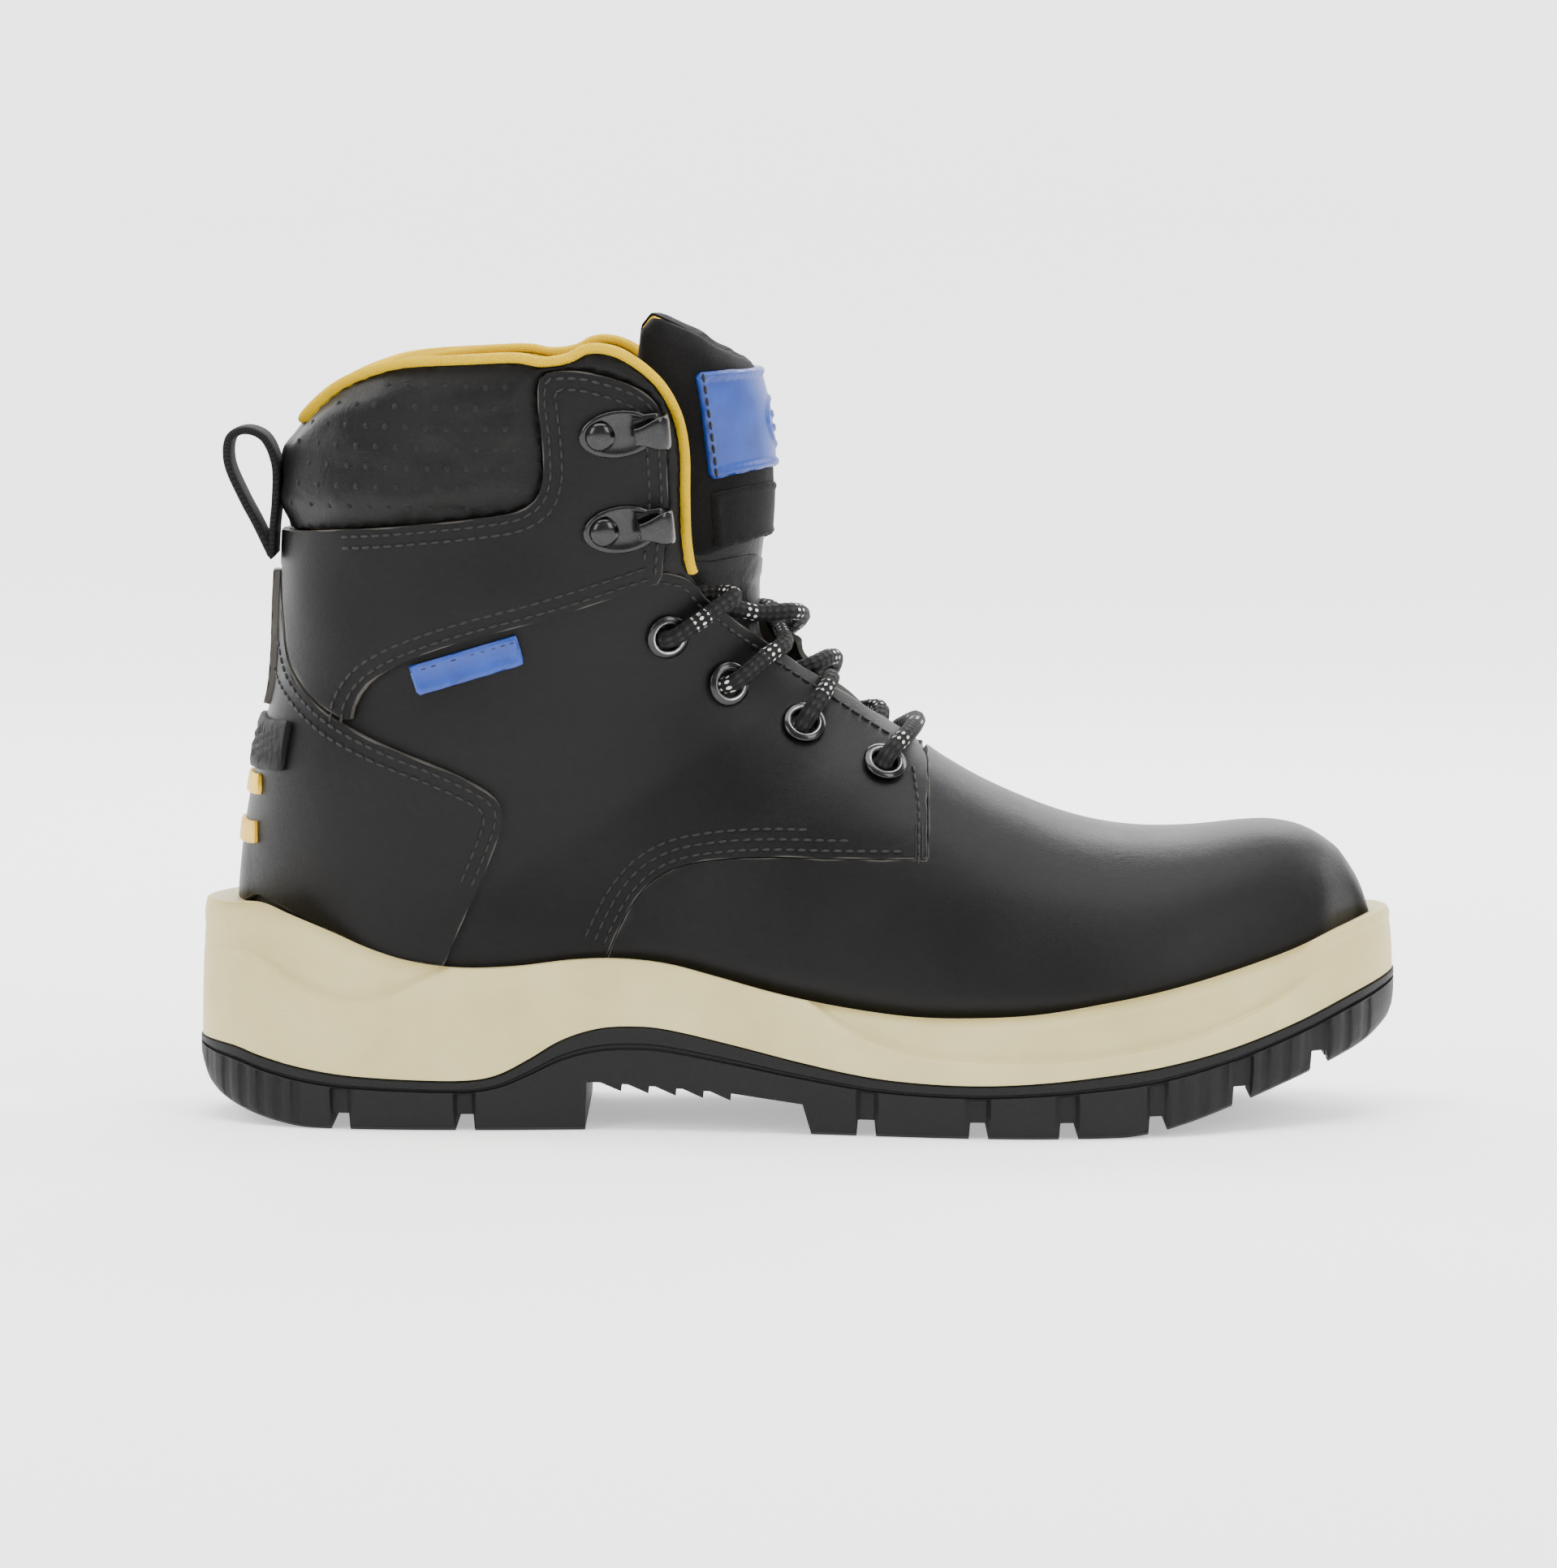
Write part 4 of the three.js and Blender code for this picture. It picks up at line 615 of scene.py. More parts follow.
def mirrored(line):
    """A line of the lateral half and its mirror image on the medial half, as one."""
    return np.vstack([line, line[::-1] * (1, -1)])


def shifted(line, distance):
    """A side-view line moved to its left by a distance."""
    p = np.asarray(line, float)
    d = np.gradient(p, axis=0)
    d /= np.maximum(1e-9, np.linalg.norm(d, axis=1))[:, None]
    return p + np.column_stack([-d[:, 1], d[:, 0]]) * distance

# The midsole's recess is the last itself, down to the seat.
recess = []
for angle in np.linspace(TOE_ANGLE + 0.17, math.radians(-78), 70):
    u = np.linspace(-1, 1, 49)
    point = form_point(np.full(49, angle), u) + form_normal(np.full(49, angle), u) * 0.05
    point[:, 2] = np.maximum(point[:, 2], seat_level(point[:, 0]) - 0.1)
    recess.append(point)
cut(midsole, [loft(recess)])
midsole.data.set_sharp_from_angle(angle=math.radians(50))
stands_for(midsole, "boot", "polyurethane_cream", "midsole")

# ---- Base panels: vamp and quarters, black full-grain leather, semi-matt ---------------------------
# The vamp is pulled over the toe cap; the quarters lap on to it and are stitched with three rows.


def leather(name, dark, light, pebble, crease, rough, edge_highlight_colour):
    """Chrome-tanned leather: fine pebbled grain and creases, waxed finish, raw cut edges lightened grey by a painted
    highlight.
    """
    made, tree, shader = material(name)
    place = object_pattern(tree)
    tone = node(tree, "ShaderNodeTexNoise", {"Vector": place, "Scale": 16.0, "Detail": 5.0, "Roughness": 0.6})
    hide = ramp(tree, tone.outputs["Fac"], [(0.32, linear(dark)), (0.7, linear(light))])
    cell = node(tree, "ShaderNodeTexVoronoi", {"Vector": place, "Scale": pebble}, feature="DISTANCE_TO_EDGE")
    valley = ramp(tree, cell.outputs["Distance"], [(0.0, (0.55,) * 3 + (1,)), (0.12, (1,) * 3 + (1,))])
    grainy = node(tree, "ShaderNodeMix", {"Factor": 0.5, "A": hide, "B": valley}, data_type="RGBA",
                  blend_type="MULTIPLY")
    # Painted highlight: the cut edge, the back face and the outer face within 0.42 mm of a panel's outline are mixed
    # towards a light grey; the mix named worn holds this painted highlight.
    rim = node(tree, "ShaderNodeAttribute", attribute_name="edge")
    edge_highlight_mask = node(tree, "ShaderNodeMapRange", {"Value": rim.outputs["Fac"], "From Min": 0.15, "From Max": 0.42,
                                                 "To Min": 1.0, "To Max": 0.0})
    worn = node(tree, "ShaderNodeMix", {"Factor": edge_highlight_mask.outputs["Result"], "A": grainy.outputs["Result"],
                                        "B": linear(edge_highlight_colour)}, data_type="RGBA")
    tree.links.new(worn.outputs["Result"], shader.inputs["Base Color"])
    tree.links.new(ramp(tree, tone.outputs["Fac"],
                        [(0.3, (rough - 0.07,) * 3 + (1,)), (0.75, (rough + 0.1,) * 3 + (1,))]),
                   shader.inputs["Roughness"])
    shader.inputs["Specular IOR Level"].default_value = 0.15
    shader.inputs["Coat Weight"].default_value = 0.04
    shader.inputs["Coat Roughness"].default_value = 0.32
    fold = node(tree, "ShaderNodeTexNoise", {"Vector": place, "Scale": 70.0, "Detail": 6.0, "Roughness": 0.65,
                                             "Distortion": 0.6})
    first = bumped(tree, shader, fold.outputs["Fac"], crease, 0.0014)
    bumped(tree, shader, valley, 0.3, 0.00022, first)
    return made


# The grey #4A4742 is the painted highlight of the cut edges.
smooth_leather = leather("Waxed full-grain leather", "#060505", "#0C0B0A", 1500.0, 0.16, 0.42, "#4A4742")
vamp_seam = flow([(-48.6, 43), (-46, 49.4), (-42.2, 56.6), (-37, 62.7), (-30, 66.5), (-20, 68.4), (-8, 69.2),
                  (10, 69),
                  (32.4, 69)], 60)
facing_edge = flow([(-23.2, 134), (-19.7, 131.2), (-13, 125.7), (-6, 120.6), (2, 114.8), (10, 109.8), (18.7, 104.2),
                    (25, 100.2), (30, 96.7), (32.5, 93)], 60)
facing_edge_medial = flow([(-23.2, 135.5), (-14, 130), (-6, 125), (1, 121.5), (8, 117.2), (16, 111.8), (24.5, 105.2),
                           (31, 99.5), (32.5, 93)], 60)
tab_top = flow([(-34.7, 140.2), (-32.4, 140.6), (-27, 138.6), (-23.2, 134)], 16)
hook_panel_top = flow([
    (-63.4, 166), (-63.8, 175), (-64.8, 185), (-63.5, 190.6), (-56, 191.7), (-49.5, 190.6), (-42.5, 188.4),
    (-38, 186),
    (-35.2, 182.6), (-33.9, 177), (-33.3, 168), (-33.1, 158), (-34.2, 147), (-34.7, 140.2)], 80)
cuff_seam = flow([(-140, 150.4), (-128, 150.8), (-110, 151.8), (-92.5, 153.4), (-76.4, 155.2), (-69.5, 156.8),
                  (-65, 160.2), (-63.4, 166)], 60)
yoke_lower = flow([(-34.7, 138.9), (-45, 135.6), (-57, 131.6), (-69, 128), (-81, 124.8), (-92.5, 121.2),
                   (-101.7, 117), (-108, 112.2), (-111.4, 106.5), (-111.9, 103.2)], 60)
counter_edge = flow([
    (-130.2, 140), (-129.5, 129), (-128.6, 120.5), (-126.6, 114), (-122.7, 109), (-117.8, 104.8), (-111.6, 101.2),
    (-101.9, 96.8), (-91.4, 92.6), (-83.4, 88.9), (-77, 84.9), (-74.6, 80.6), (-75.3, 75.5), (-79, 65.5),
    (-84.7, 52.4), (-89.2, 42.4)], 120)
collar_edge = flow([
    (-127, 178.5), (-122, 183.6), (-115.5, 188.6), (-107.4, 192.2), (-97.9, 194.6), (-80, 195.6), (-70, 195.9),
    (-63.8, 194.9), (-57.9, 195.7), (-53.3, 198), (-48.6, 198.2), (-44, 196.9), (-38.9, 193.9), (-34, 189.5),
    (-30.4, 183.8), (-28.2, 177.5), (-27.2, 170), (-27.2, 161), (-27, 151), (-26.2, 144), (-25.4, 141.2)], 140)


def rubbed(amount, scale):
    """Slow swelling and dents that stop the leather from looking moulded."""
    return lambda d, point, plan: np.array([noise.noise(Vector(p) * scale) for p in point]) * amount * ease(1, 8, d)


throat_ridge = float(fan_angle(33.0, 94.5)) * FAN
half_vamp = np.vstack([unrolled(shifted(vamp_seam, -0.3)), unrolled([(32.8, 74), (32.9, 83), (33, 89), (33, 93)]),
                       [(throat_ridge, 0.0)]])
start = half_vamp[0]
vamp_outline = np.vstack([half_vamp, half_vamp[:-1][::-1] * (1, -1), [(start[0], 0.98 * ROUND)],
                          [(TOE_ANGLE * FAN + 21, 0.98 * ROUND)], [(TOE_ANGLE * FAN + 21, -0.98 * ROUND)],
                          [(start[0], -0.98 * ROUND)]])
vamp = panel("vamp_leather", vamp_outline, smooth_leather, -1.8, 0.0, step=2.2, swell=rubbed(0.35, 0.035))
stands_for(vamp, "boot", "leather_black", "vamp")

for side, which, edge in ((-1, "lateral", facing_edge), (1, "medial", facing_edge_medial)):
    seam = unrolled(vamp_seam, side)
    top = unrolled(np.vstack([cuff_seam[14:], hook_panel_top[1:], tab_top[1:], edge[1:], [(32.5, 83)],
                              vamp_seam[::-1][:-1]]), side)
    back = unrolled(cuff_seam[14:15], side)[0]
    outline = np.vstack([top, [(seam[0][0], side * 0.99 * ROUND)], [(HEEL_CORNER * FAN, side * ROUND)],
                         [(back[0], side * ROUND)]])
    quarter = panel(f"quarter_leather_{which}", outline, smooth_leather, -1.8, 0.0, swell=rubbed(0.4, 0.04))
    stands_for(quarter, "boot", "leather_black", f"quarter_{which}")

# ---- Overlays: yoke with the hook panel, and heel counter ------------------------------------------
# The same leather, cut with raw edges that are painted grey as a highlight, laid over the quarters and sewn with two
# rows of thread.

for side, which in ((-1, "lateral"), (1, "medial")):
    low = [p for p in counter_edge[:40][::-1] if p[0] < -113]
    outline = np.vstack([cuff_seam[14:], hook_panel_top[1:], yoke_lower[1:], np.array(low) + 0.6])
    plan = unrolled(outline, side)
    first = plan[0]
    plan = np.vstack([plan, [(fan_angle(-131.0, 140.8) * FAN, side * ROUND)], [(first[0], side * ROUND)]])
    yoke = panel(f"yoke_leather_{which}", plan, smooth_leather, 0.05, 2.1, swell=rubbed(0.45, 0.045))
    stands_for(yoke, "boot", "leather_black", f"yoke_{which}")

feather_xs = np.linspace(-87, -142, 26)
below_lip = [(x, float(feather_level(x)) + 0.3) for x in feather_xs]
half_counter = np.vstack([[(fan_angle(-130.6, 140.0) * FAN, 0.0)], unrolled(counter_edge[2:-4], -1, "back"),
                          unrolled(below_lip[1:-2], -1, "back"), [(fan_angle(-142.0, 52.5) * FAN, 0.0)]])
counter_outline = np.vstack([half_counter, half_counter[1:-1][::-1] * (1, -1)])
counter = panel("counter_leather", counter_outline, smooth_leather, 0.05, 2.1, wrap="back", swell=rubbed(0.4, 0.04))
stands_for(counter, "boot", "leather_black", "heel_counter")

# ---- Heel: pad, back strip and two yellow inserts in the counter -----------------------------------
# Moulded rubber pad and inserts are sewn or bonded on the counter; the strip covers the back seam.


def plan_box(x_front, low, high):
    """Half outline of a piece that wraps the heel: from the back's middle to x_front, between two heights."""
    top, bottom = unrolled([(x_front[1], high), (x_front[0], low)], -1, "back")
    a_top, a_bottom = (float(fan_angle(back_at(z), z)) * FAN for z in (high, low))
    half = np.vstack([[(a_top, 0.0)], [top], [bottom], [(a_bottom, 0.0)]])
    return np.vstack([half, half[1:-1][::-1] * (1, -1)])


yellow_rubber, tree, shader = material("Moulded yellow rubber")
place = object_pattern(tree)
cloud = node(tree, "ShaderNodeTexNoise", {"Vector": place, "Scale": 120.0, "Detail": 4.0})
tree.links.new(ramp(tree, cloud.outputs["Fac"], [(0.3, linear("#D0A000")), (0.7, linear("#E8BC00"))]),
               shader.inputs["Base Color"])
shader.inputs["Roughness"].default_value = 0.45
bumped(tree, shader, cloud.outputs["Fac"], 0.2, 0.0004)
for x, z, height, which in ((-141.6, 72.8, 5.6, "lower"), (-140.4, 85, 5, "upper")):
    bar = panel(f"insert_rubber_{which}", plan_box((x + 5.5, x + 5.5), z - height / 2, z + height / 2), yellow_rubber,
                0.3, 3.3, wrap="back", step=0.9, soft=0.9)
    stands_for(bar, "boot", "rubber_yellow", f"heel_insert_{which}")

ribs = lambda d, point, plan: 0.35 * np.sin(point[:, 2] * 2.1) * ease(1.2, 2.2, d)
pad = panel("heel_pad_rubber", plan_box((-128.6, -126.4), 89.6, 102), tread_rubber, 2.15, 3.9, wrap="back", step=0.8,
            soft=0.9, swell=ribs)
stands_for(pad, "boot", "rubber_black", "heel_pad")
a_top, a_bottom = (float(fan_angle(back_at(z), z)) * FAN for z in (139.4, 104.2))
strip = panel("back_strip_leather", [(a_top, -3.1), (a_top, 3.1), (a_bottom, 3.1), (a_bottom, -3.1)], smooth_leather,
              2.15, 3.9, wrap="back", step=1.0, soft=0.6)
stands_for(strip, "boot", "leather_black", "back_strip")

# ---- Collar: padded cuff, yellow lining and bound edge ---------------------------------------------
# Soft garment leather over foam, punched for air, gathers a little towards the edge; the holes are dark discs of
# painted shade. The lining and the
# binding are yellow knitted textile; the binding is folded over the raw edges.

# Its cut edges get the same painted highlight, #1A1918, only a little lighter than the leather.
soft_leather = leather("Soft garment leather", "#060505", "#0F0E0D", 1100.0, 0.6, 0.42, "#1A1918")
PERFORATION_ROWS, PERFORATION_PITCH = [157.6 + 5.0 * i for i in range(7)], 4.8
holes = []
for side in (-1, 1):
    for i, z in enumerate(PERFORATION_ROWS):
        for x in np.arange(-130.5 + (2.4 if i % 2 else 0), -69, PERFORATION_PITCH):
            if x > back_at(z) + 3 and np.interp(x, collar_edge[:100, 0], collar_edge[:100, 1]) - z > 5.5:
                holes.append(unrolled([(x, z)], side, "back")[0])
holes = np.array(holes)
hole_points, hole_normals = rolled(holes, "back")


def cuff_pad(d, point, plan):
    fold = np.array([noise.noise(Vector((p[0] * 0.09, p[1] * 0.09, p[2] * 0.17))) for p in point])
    fine = np.array([noise.noise(Vector(p) * 0.42) for p in point])
    gather = np.array([noise.noise(Vector((p[0] * 0.5, p[1] * 0.5, p[2] * 0.06))) for p in point]) * ease(186, 194,
            point[:, 2])
    return 3.0 * ease(0, 8, d) + (0.75 * fold + 0.22 * fine + 0.5 * gather) * ease(0.8, 5, d)


def punched_pad(d, point, plan):
    dent = np.exp(-(nearest(point, hole_points) / 0.95) ** 2)
    return cuff_pad(d, point, plan) - 0.12 * dent


inner_edge = shifted(collar_edge, -2.3)
half_cuff = np.vstack([[(fan_angle(-129.8, 150.9) * FAN, 0.0)], unrolled(shifted(cuff_seam[14:], 0.15), -1, "back"),
                       unrolled(shifted(hook_panel_top, 0.15)[1:], -1, "back"),
                       unrolled(shifted(tab_top, 0.2)[1:-3], -1, "back"), unrolled(inner_edge[::-1], -1, "back"),
                       [(fan_angle(-125.6, 178.6) * FAN, 0.0)]])
cuff_outline = np.vstack([half_cuff, half_cuff[1:-1][::-1] * (1, -1)])
cuff = panel("cuff_padding", cuff_outline, soft_leather, -3.6, 0.0, wrap="back", step=1.15, soft=0.9,
             swell=punched_pad)
stands_for(cuff, "boot", "leather_black", "collar_cuff")


def knitted(name, dark, light, scale, depth=0.5):
    """Fine knitted polyester that follows the piece's own flat plan."""
    made, tree, shader = material(name)
    along = node(tree, "ShaderNodeAttribute", attribute_name="along")
    around = node(tree, "ShaderNodeAttribute", attribute_name="around")
    plan = node(tree, "ShaderNodeCombineXYZ", {"X": along.outputs["Fac"], "Y": around.outputs["Fac"]})
    rows = node(tree, "ShaderNodeTexWave", {"Vector": plan.outputs["Vector"], "Scale": scale, "Distortion": 1.2,
                                            "Detail": 2.0, "Detail Scale": 3.0}, bands_direction="X")
    wales = node(tree, "ShaderNodeTexWave",
                 {"Vector": plan.outputs["Vector"], "Scale": scale * 0.8, "Distortion": 1.0},
                 bands_direction="Y")
    loops = node(tree, "ShaderNodeMath", {0: rows.outputs["Fac"], 1: wales.outputs["Fac"]}, operation="MULTIPLY")
    tree.links.new(ramp(tree, loops.outputs[0], [(0.0, linear(dark)), (0.55, linear(light))]),
                   shader.inputs["Base Color"])
    shader.inputs["Roughness"].default_value = 0.92
    shader.inputs["Specular IOR Level"].default_value = 0.2
    bumped(tree, shader, loops.outputs[0], depth, 0.0005)
    return made


yellow_knit = knitted("Yellow knitted lining", "#C49A00", "#F2C800", 0.35)
lining_front = [(-59, 34), (-59, 74), (-50, 96), (-45, 112), (-42, 124), (-40, 134), (-34, 141.5)]
half_lining = np.vstack([[(fan_angle(-126.2, 177.5) * FAN, 0.0)], unrolled(inner_edge, -1, "back"),
                         unrolled(resampled(lining_front[::-1], 3), -1, "back"),
                         [(HEEL_CORNER * FAN, -0.02 * ROUND), (HEEL_CORNER * FAN, 0.0)]])
lining = panel("collar_lining_knit", np.vstack([half_lining, half_lining[1:-1][::-1] * (1, -1)]), yellow_knit, -6.8,
               -4.3,
               wrap="back", step=3.0, soft=0.4, swell=lambda d, point,
               plan: -1.0 + 0.2 * np.sin(plan[:, 0] * 0.5) * ease(2, 10, d))
stands_for(lining, "boot", "textile_yellow", "collar_lining")


def swept(centres, normals, across_half, out_half, sides=12, corner=0.75):
    """A rounded band along a path: half sizes across the path in the surface and along its normal."""
    tangent = np.gradient(centres, axis=0)
    tangent /= np.linalg.norm(tangent, axis=1)[:, None]
    across = np.cross(tangent, normals)
    across /= np.linalg.norm(across, axis=1)[:, None]
    rings = []
    for c, b, n in zip(centres, across, normals):
        a = np.arange(sides) * 2 * np.pi / sides
        u = np.sign(np.cos(a)) * np.abs(np.cos(a)) ** corner * across_half
        v = np.sign(np.sin(a)) * np.abs(np.sin(a)) ** corner * out_half
        rings.append(c + u[:, None] * b + v[:, None] * n)
    return rings


BINDING_STEP, BINDING_SIDES = 0.9, 14
edge_plan = resampled(mirrored(unrolled(shifted(collar_edge, -1.1)[::-1], -1, "back")), BINDING_STEP)
edge_point, edge_normal = rolled(edge_plan, "back")
edge_run = np.arange(len(edge_point)) * BINDING_STEP
rings = swept(edge_point + edge_normal * -1.9, edge_normal, 1.35, 3.6, BINDING_SIDES)
binding = mesh_object("collar_binding_knit", *loft(rings),
                      knitted("Yellow binding tape", "#CCA200", "#F5CE00", 0.9, 0.8), 60, {
    "along": np.concatenate([np.repeat(edge_run, BINDING_SIDES), [0, 0]]),
    "around": np.concatenate([np.tile(np.arange(BINDING_SIDES) * BINDING_STEP, len(rings)), [0, 0]])})
stands_for(binding, "boot", "textile_yellow", "collar_binding")


def filled_inputs(piece, tree, **values):
    """Puts a Geometry Nodes tree on a piece, sets its named inputs and bakes the result to a plain mesh."""
    modifier = piece.modifiers.new(tree.name, "NODES")
    modifier.node_group = tree
    for item in tree.interface.items_tree:
        if item.item_type == "SOCKET" and item.in_out == "INPUT" and item.name in values:
            modifier[item.identifier] = values[item.name]
    result = bpy.data.meshes.new_from_object(piece.evaluated_get(bpy.context.evaluated_depsgraph_get()))
    piece.modifiers.clear()
    old, piece.data = piece.data, result
    bpy.data.meshes.remove(old)
    piece.data.shade_smooth()


def nodes_tree(name, **inputs):
    """A Geometry Nodes tree with a geometry input and named number or material inputs."""
    tree = bpy.data.node_groups.new(name, "GeometryNodeTree")
    tree.interface.new_socket("Geometry", in_out="INPUT", socket_type="NodeSocketGeometry")
    for key, (kind, value) in inputs.items():
        made = tree.interface.new_socket(key, in_out="INPUT", socket_type=kind)
        if value is not None:
            made.default_value = value
    tree.interface.new_socket("Geometry", in_out="OUTPUT", socket_type="NodeSocketGeometry")
    return tree, node(tree, "NodeGroupInput"), node(tree, "NodeGroupOutput")


punch, source, sink = nodes_tree("punched_holes", Radius=("NodeSocketFloat", 0.0006),
                                 Burr=("NodeSocketFloat", 0.0001),
                                 Dark=("NodeSocketMaterial", None), Skin=("NodeSocketMaterial", None))
# The well is a shallow disc in the Dark material: painted shade standing in for the inside of a punched hole.
well = node(punch, "GeometryNodeMeshCylinder", {"Vertices": 10, "Radius": source.outputs["Radius"], "Depth": 0.0004})
well_dark = node(punch, "GeometryNodeSetMaterial",
                 {"Geometry": well.outputs["Mesh"], "Material": source.outputs["Dark"]})
ring = node(punch, "GeometryNodeCurvePrimitiveCircle", {"Resolution": 12, "Radius": source.outputs["Radius"]},
            mode="RADIUS")
lip = node(punch, "GeometryNodeCurvePrimitiveCircle", {"Resolution": 6, "Radius": source.outputs["Burr"]},
           mode="RADIUS")
burr = node(punch, "GeometryNodeCurveToMesh", {"Curve": ring.outputs["Curve"], "Profile Curve": lip.outputs["Curve"]})
burr_skin = node(punch, "GeometryNodeSetMaterial",
                 {"Geometry": burr.outputs["Mesh"], "Material": source.outputs["Skin"]})
both = node(punch, "GeometryNodeJoinGeometry")
punch.links.new(well_dark.outputs["Geometry"], both.inputs["Geometry"])
punch.links.new(burr_skin.outputs["Geometry"], both.inputs["Geometry"])
facing = node(punch, "GeometryNodeInputNamedAttribute", {"Name": "out"}, data_type="FLOAT_VECTOR")
turn = node(punch, "FunctionNodeAlignRotationToVector", {"Vector": facing.outputs["Attribute"]}, axis="Z")
spread = node(punch, "GeometryNodeInstanceOnPoints", {"Points": source.outputs["Geometry"],
                                                      "Instance": both.outputs["Geometry"],
                                                      "Rotation": turn.outputs["Rotation"]})
real = node(punch, "GeometryNodeRealizeInstances", {"Geometry": spread.outputs["Instances"]})
punch.links.new(real.outputs["Geometry"], sink.inputs["Geometry"])


def marked_points(name, points, normals, edges=(), **fields):
    """Bare points (or lines) in millimetres with their outward direction, for a Geometry Nodes tree to dress."""
    mesh = bpy.data.meshes.new(name)
    mesh.from_pydata((np.asarray(points) * 0.001).tolist(), list(edges), [])
    layer = mesh.attributes.new("out", "FLOAT_VECTOR", "POINT")
    layer.data.foreach_set("vector", np.asarray(normals, np.float32).ravel())
    made = bpy.data.objects.new(name, mesh)
    bpy.context.scene.collection.objects.link(made)
    return made


# Painted shade: near-black discs at the holes stand in for the shade inside them; the leather is not cut through.
hole_painted_shade, tree, shader = material("Punched hole in leather")
hole_shade_noise = node(tree, "ShaderNodeTexNoise", {"Vector": object_pattern(tree), "Scale": 900.0})
tree.links.new(ramp(tree, hole_shade_noise.outputs["Fac"], [(0.3, linear("#040404")), (0.7, linear("#0B0A0A"))]),
               shader.inputs["Base Color"])
shader.inputs["Roughness"].default_value = 0.95
edge_curve, _ = rolled(resampled(cuff_outline, 0.7, closed=True), "back")
hole_height = cuff_pad(nearest(hole_points, edge_curve), hole_points, holes) - 0.1
perforations = marked_points("cuff_perforations", hole_points + hole_normals * hole_height[:, None], hole_normals)
filled_inputs(perforations, punch, Radius=0.0007, Burr=0.00013, Dark=hole_painted_shade, Skin=soft_leather)
stands_for(perforations, "boot", "leather_black")

# ---- Seams: bonded polyester thread, lock-stitched in rows of 3 mm ---------------------------------
# Double rows round the hook panel, the cuff, the yoke and the counter; three rows where the quarter meets
# the vamp; one along the facing and the eyelets.

thread, tree, shader = material("Bonded polyester thread")
place = object_pattern(tree)
twist = node(tree, "ShaderNodeTexNoise", {"Vector": place, "Scale": 2600.0, "Detail": 2.0})
tree.links.new(ramp(tree, twist.outputs["Fac"], [(0.3, linear("#0E0D0D")), (0.7, linear("#1E1C1B"))]),
               shader.inputs["Base Color"])
shader.inputs["Roughness"].default_value = 0.5
shader.inputs["Specular IOR Level"].default_value = 0.3
bumped(tree, shader, twist.outputs["Fac"], 0.5, 0.0002)

stitching, source, sink = nodes_tree("lock_stitches", Pitch=("NodeSocketFloat", 0.003),
                                     Length=("NodeSocketFloat", 0.0024),
                                     Thickness=("NodeSocketFloat", 0.0005), Thread=("NodeSocketMaterial", None))
lines = node(stitching, "GeometryNodeMeshToCurve", {"Mesh": source.outputs["Geometry"]})
spaced = node(stitching, "GeometryNodeResampleCurve",
              {"Curve": lines.outputs["Curve"], "Length": source.outputs["Pitch"]},
              mode="LENGTH")
bead = node(stitching, "GeometryNodeMeshUVSphere", {"Segments": 8, "Rings": 6, "Radius": 0.5})
size = node(stitching, "ShaderNodeCombineXYZ", {"X": source.outputs["Length"], "Y": source.outputs["Thickness"],
                                                "Z": source.outputs["Thickness"]})
one = node(stitching, "GeometryNodeTransform", {"Geometry": bead.outputs["Mesh"], "Scale": size.outputs["Vector"]})
run = node(stitching, "GeometryNodeInputTangent")
facing = node(stitching, "GeometryNodeInputNamedAttribute", {"Name": "out"}, data_type="FLOAT_VECTOR")
aim = node(stitching, "FunctionNodeAxesToRotation", {"Primary Axis": facing.outputs["Attribute"],
                                                     "Secondary Axis": run.outputs["Tangent"]},
           primary_axis="Z", secondary_axis="X")
sewn = node(stitching, "GeometryNodeInstanceOnPoints",
            {"Points": spaced.outputs["Curve"], "Instance": one.outputs["Geometry"],
                                                        "Rotation": aim.outputs["Rotation"]})
real = node(stitching, "GeometryNodeRealizeInstances", {"Geometry": sewn.outputs["Instances"]})
spun = node(stitching, "GeometryNodeSetMaterial",
            {"Geometry": real.outputs["Geometry"], "Material": source.outputs["Thread"]})
stitching.links.new(spun.outputs["Geometry"], sink.inputs["Geometry"])


def sewn_rows(name, rows, body, slot_name, pitch=3.0, length=2.55, thickness=0.85):
    """Stitches along rows; each row is (flat plan line, wrap, level)."""
    points, normals, edges = [], [], []
    for line, wrap, level in rows:
        p, n = rolled(resampled(line, 1.0), wrap)
        edges += [(len(points) + i, len(points) + i + 1) for i in range(len(p) - 1)]
        points += list(p + n * level)
        normals += list(n)
    piece = marked_points(name, points, normals, edges)
    filled_inputs(piece, stitching, Pitch=pitch * 0.001, Length=length * 0.001, Thickness=thickness * 0.001,
                  Thread=thread)
    return stands_for(piece, body, slot_name)


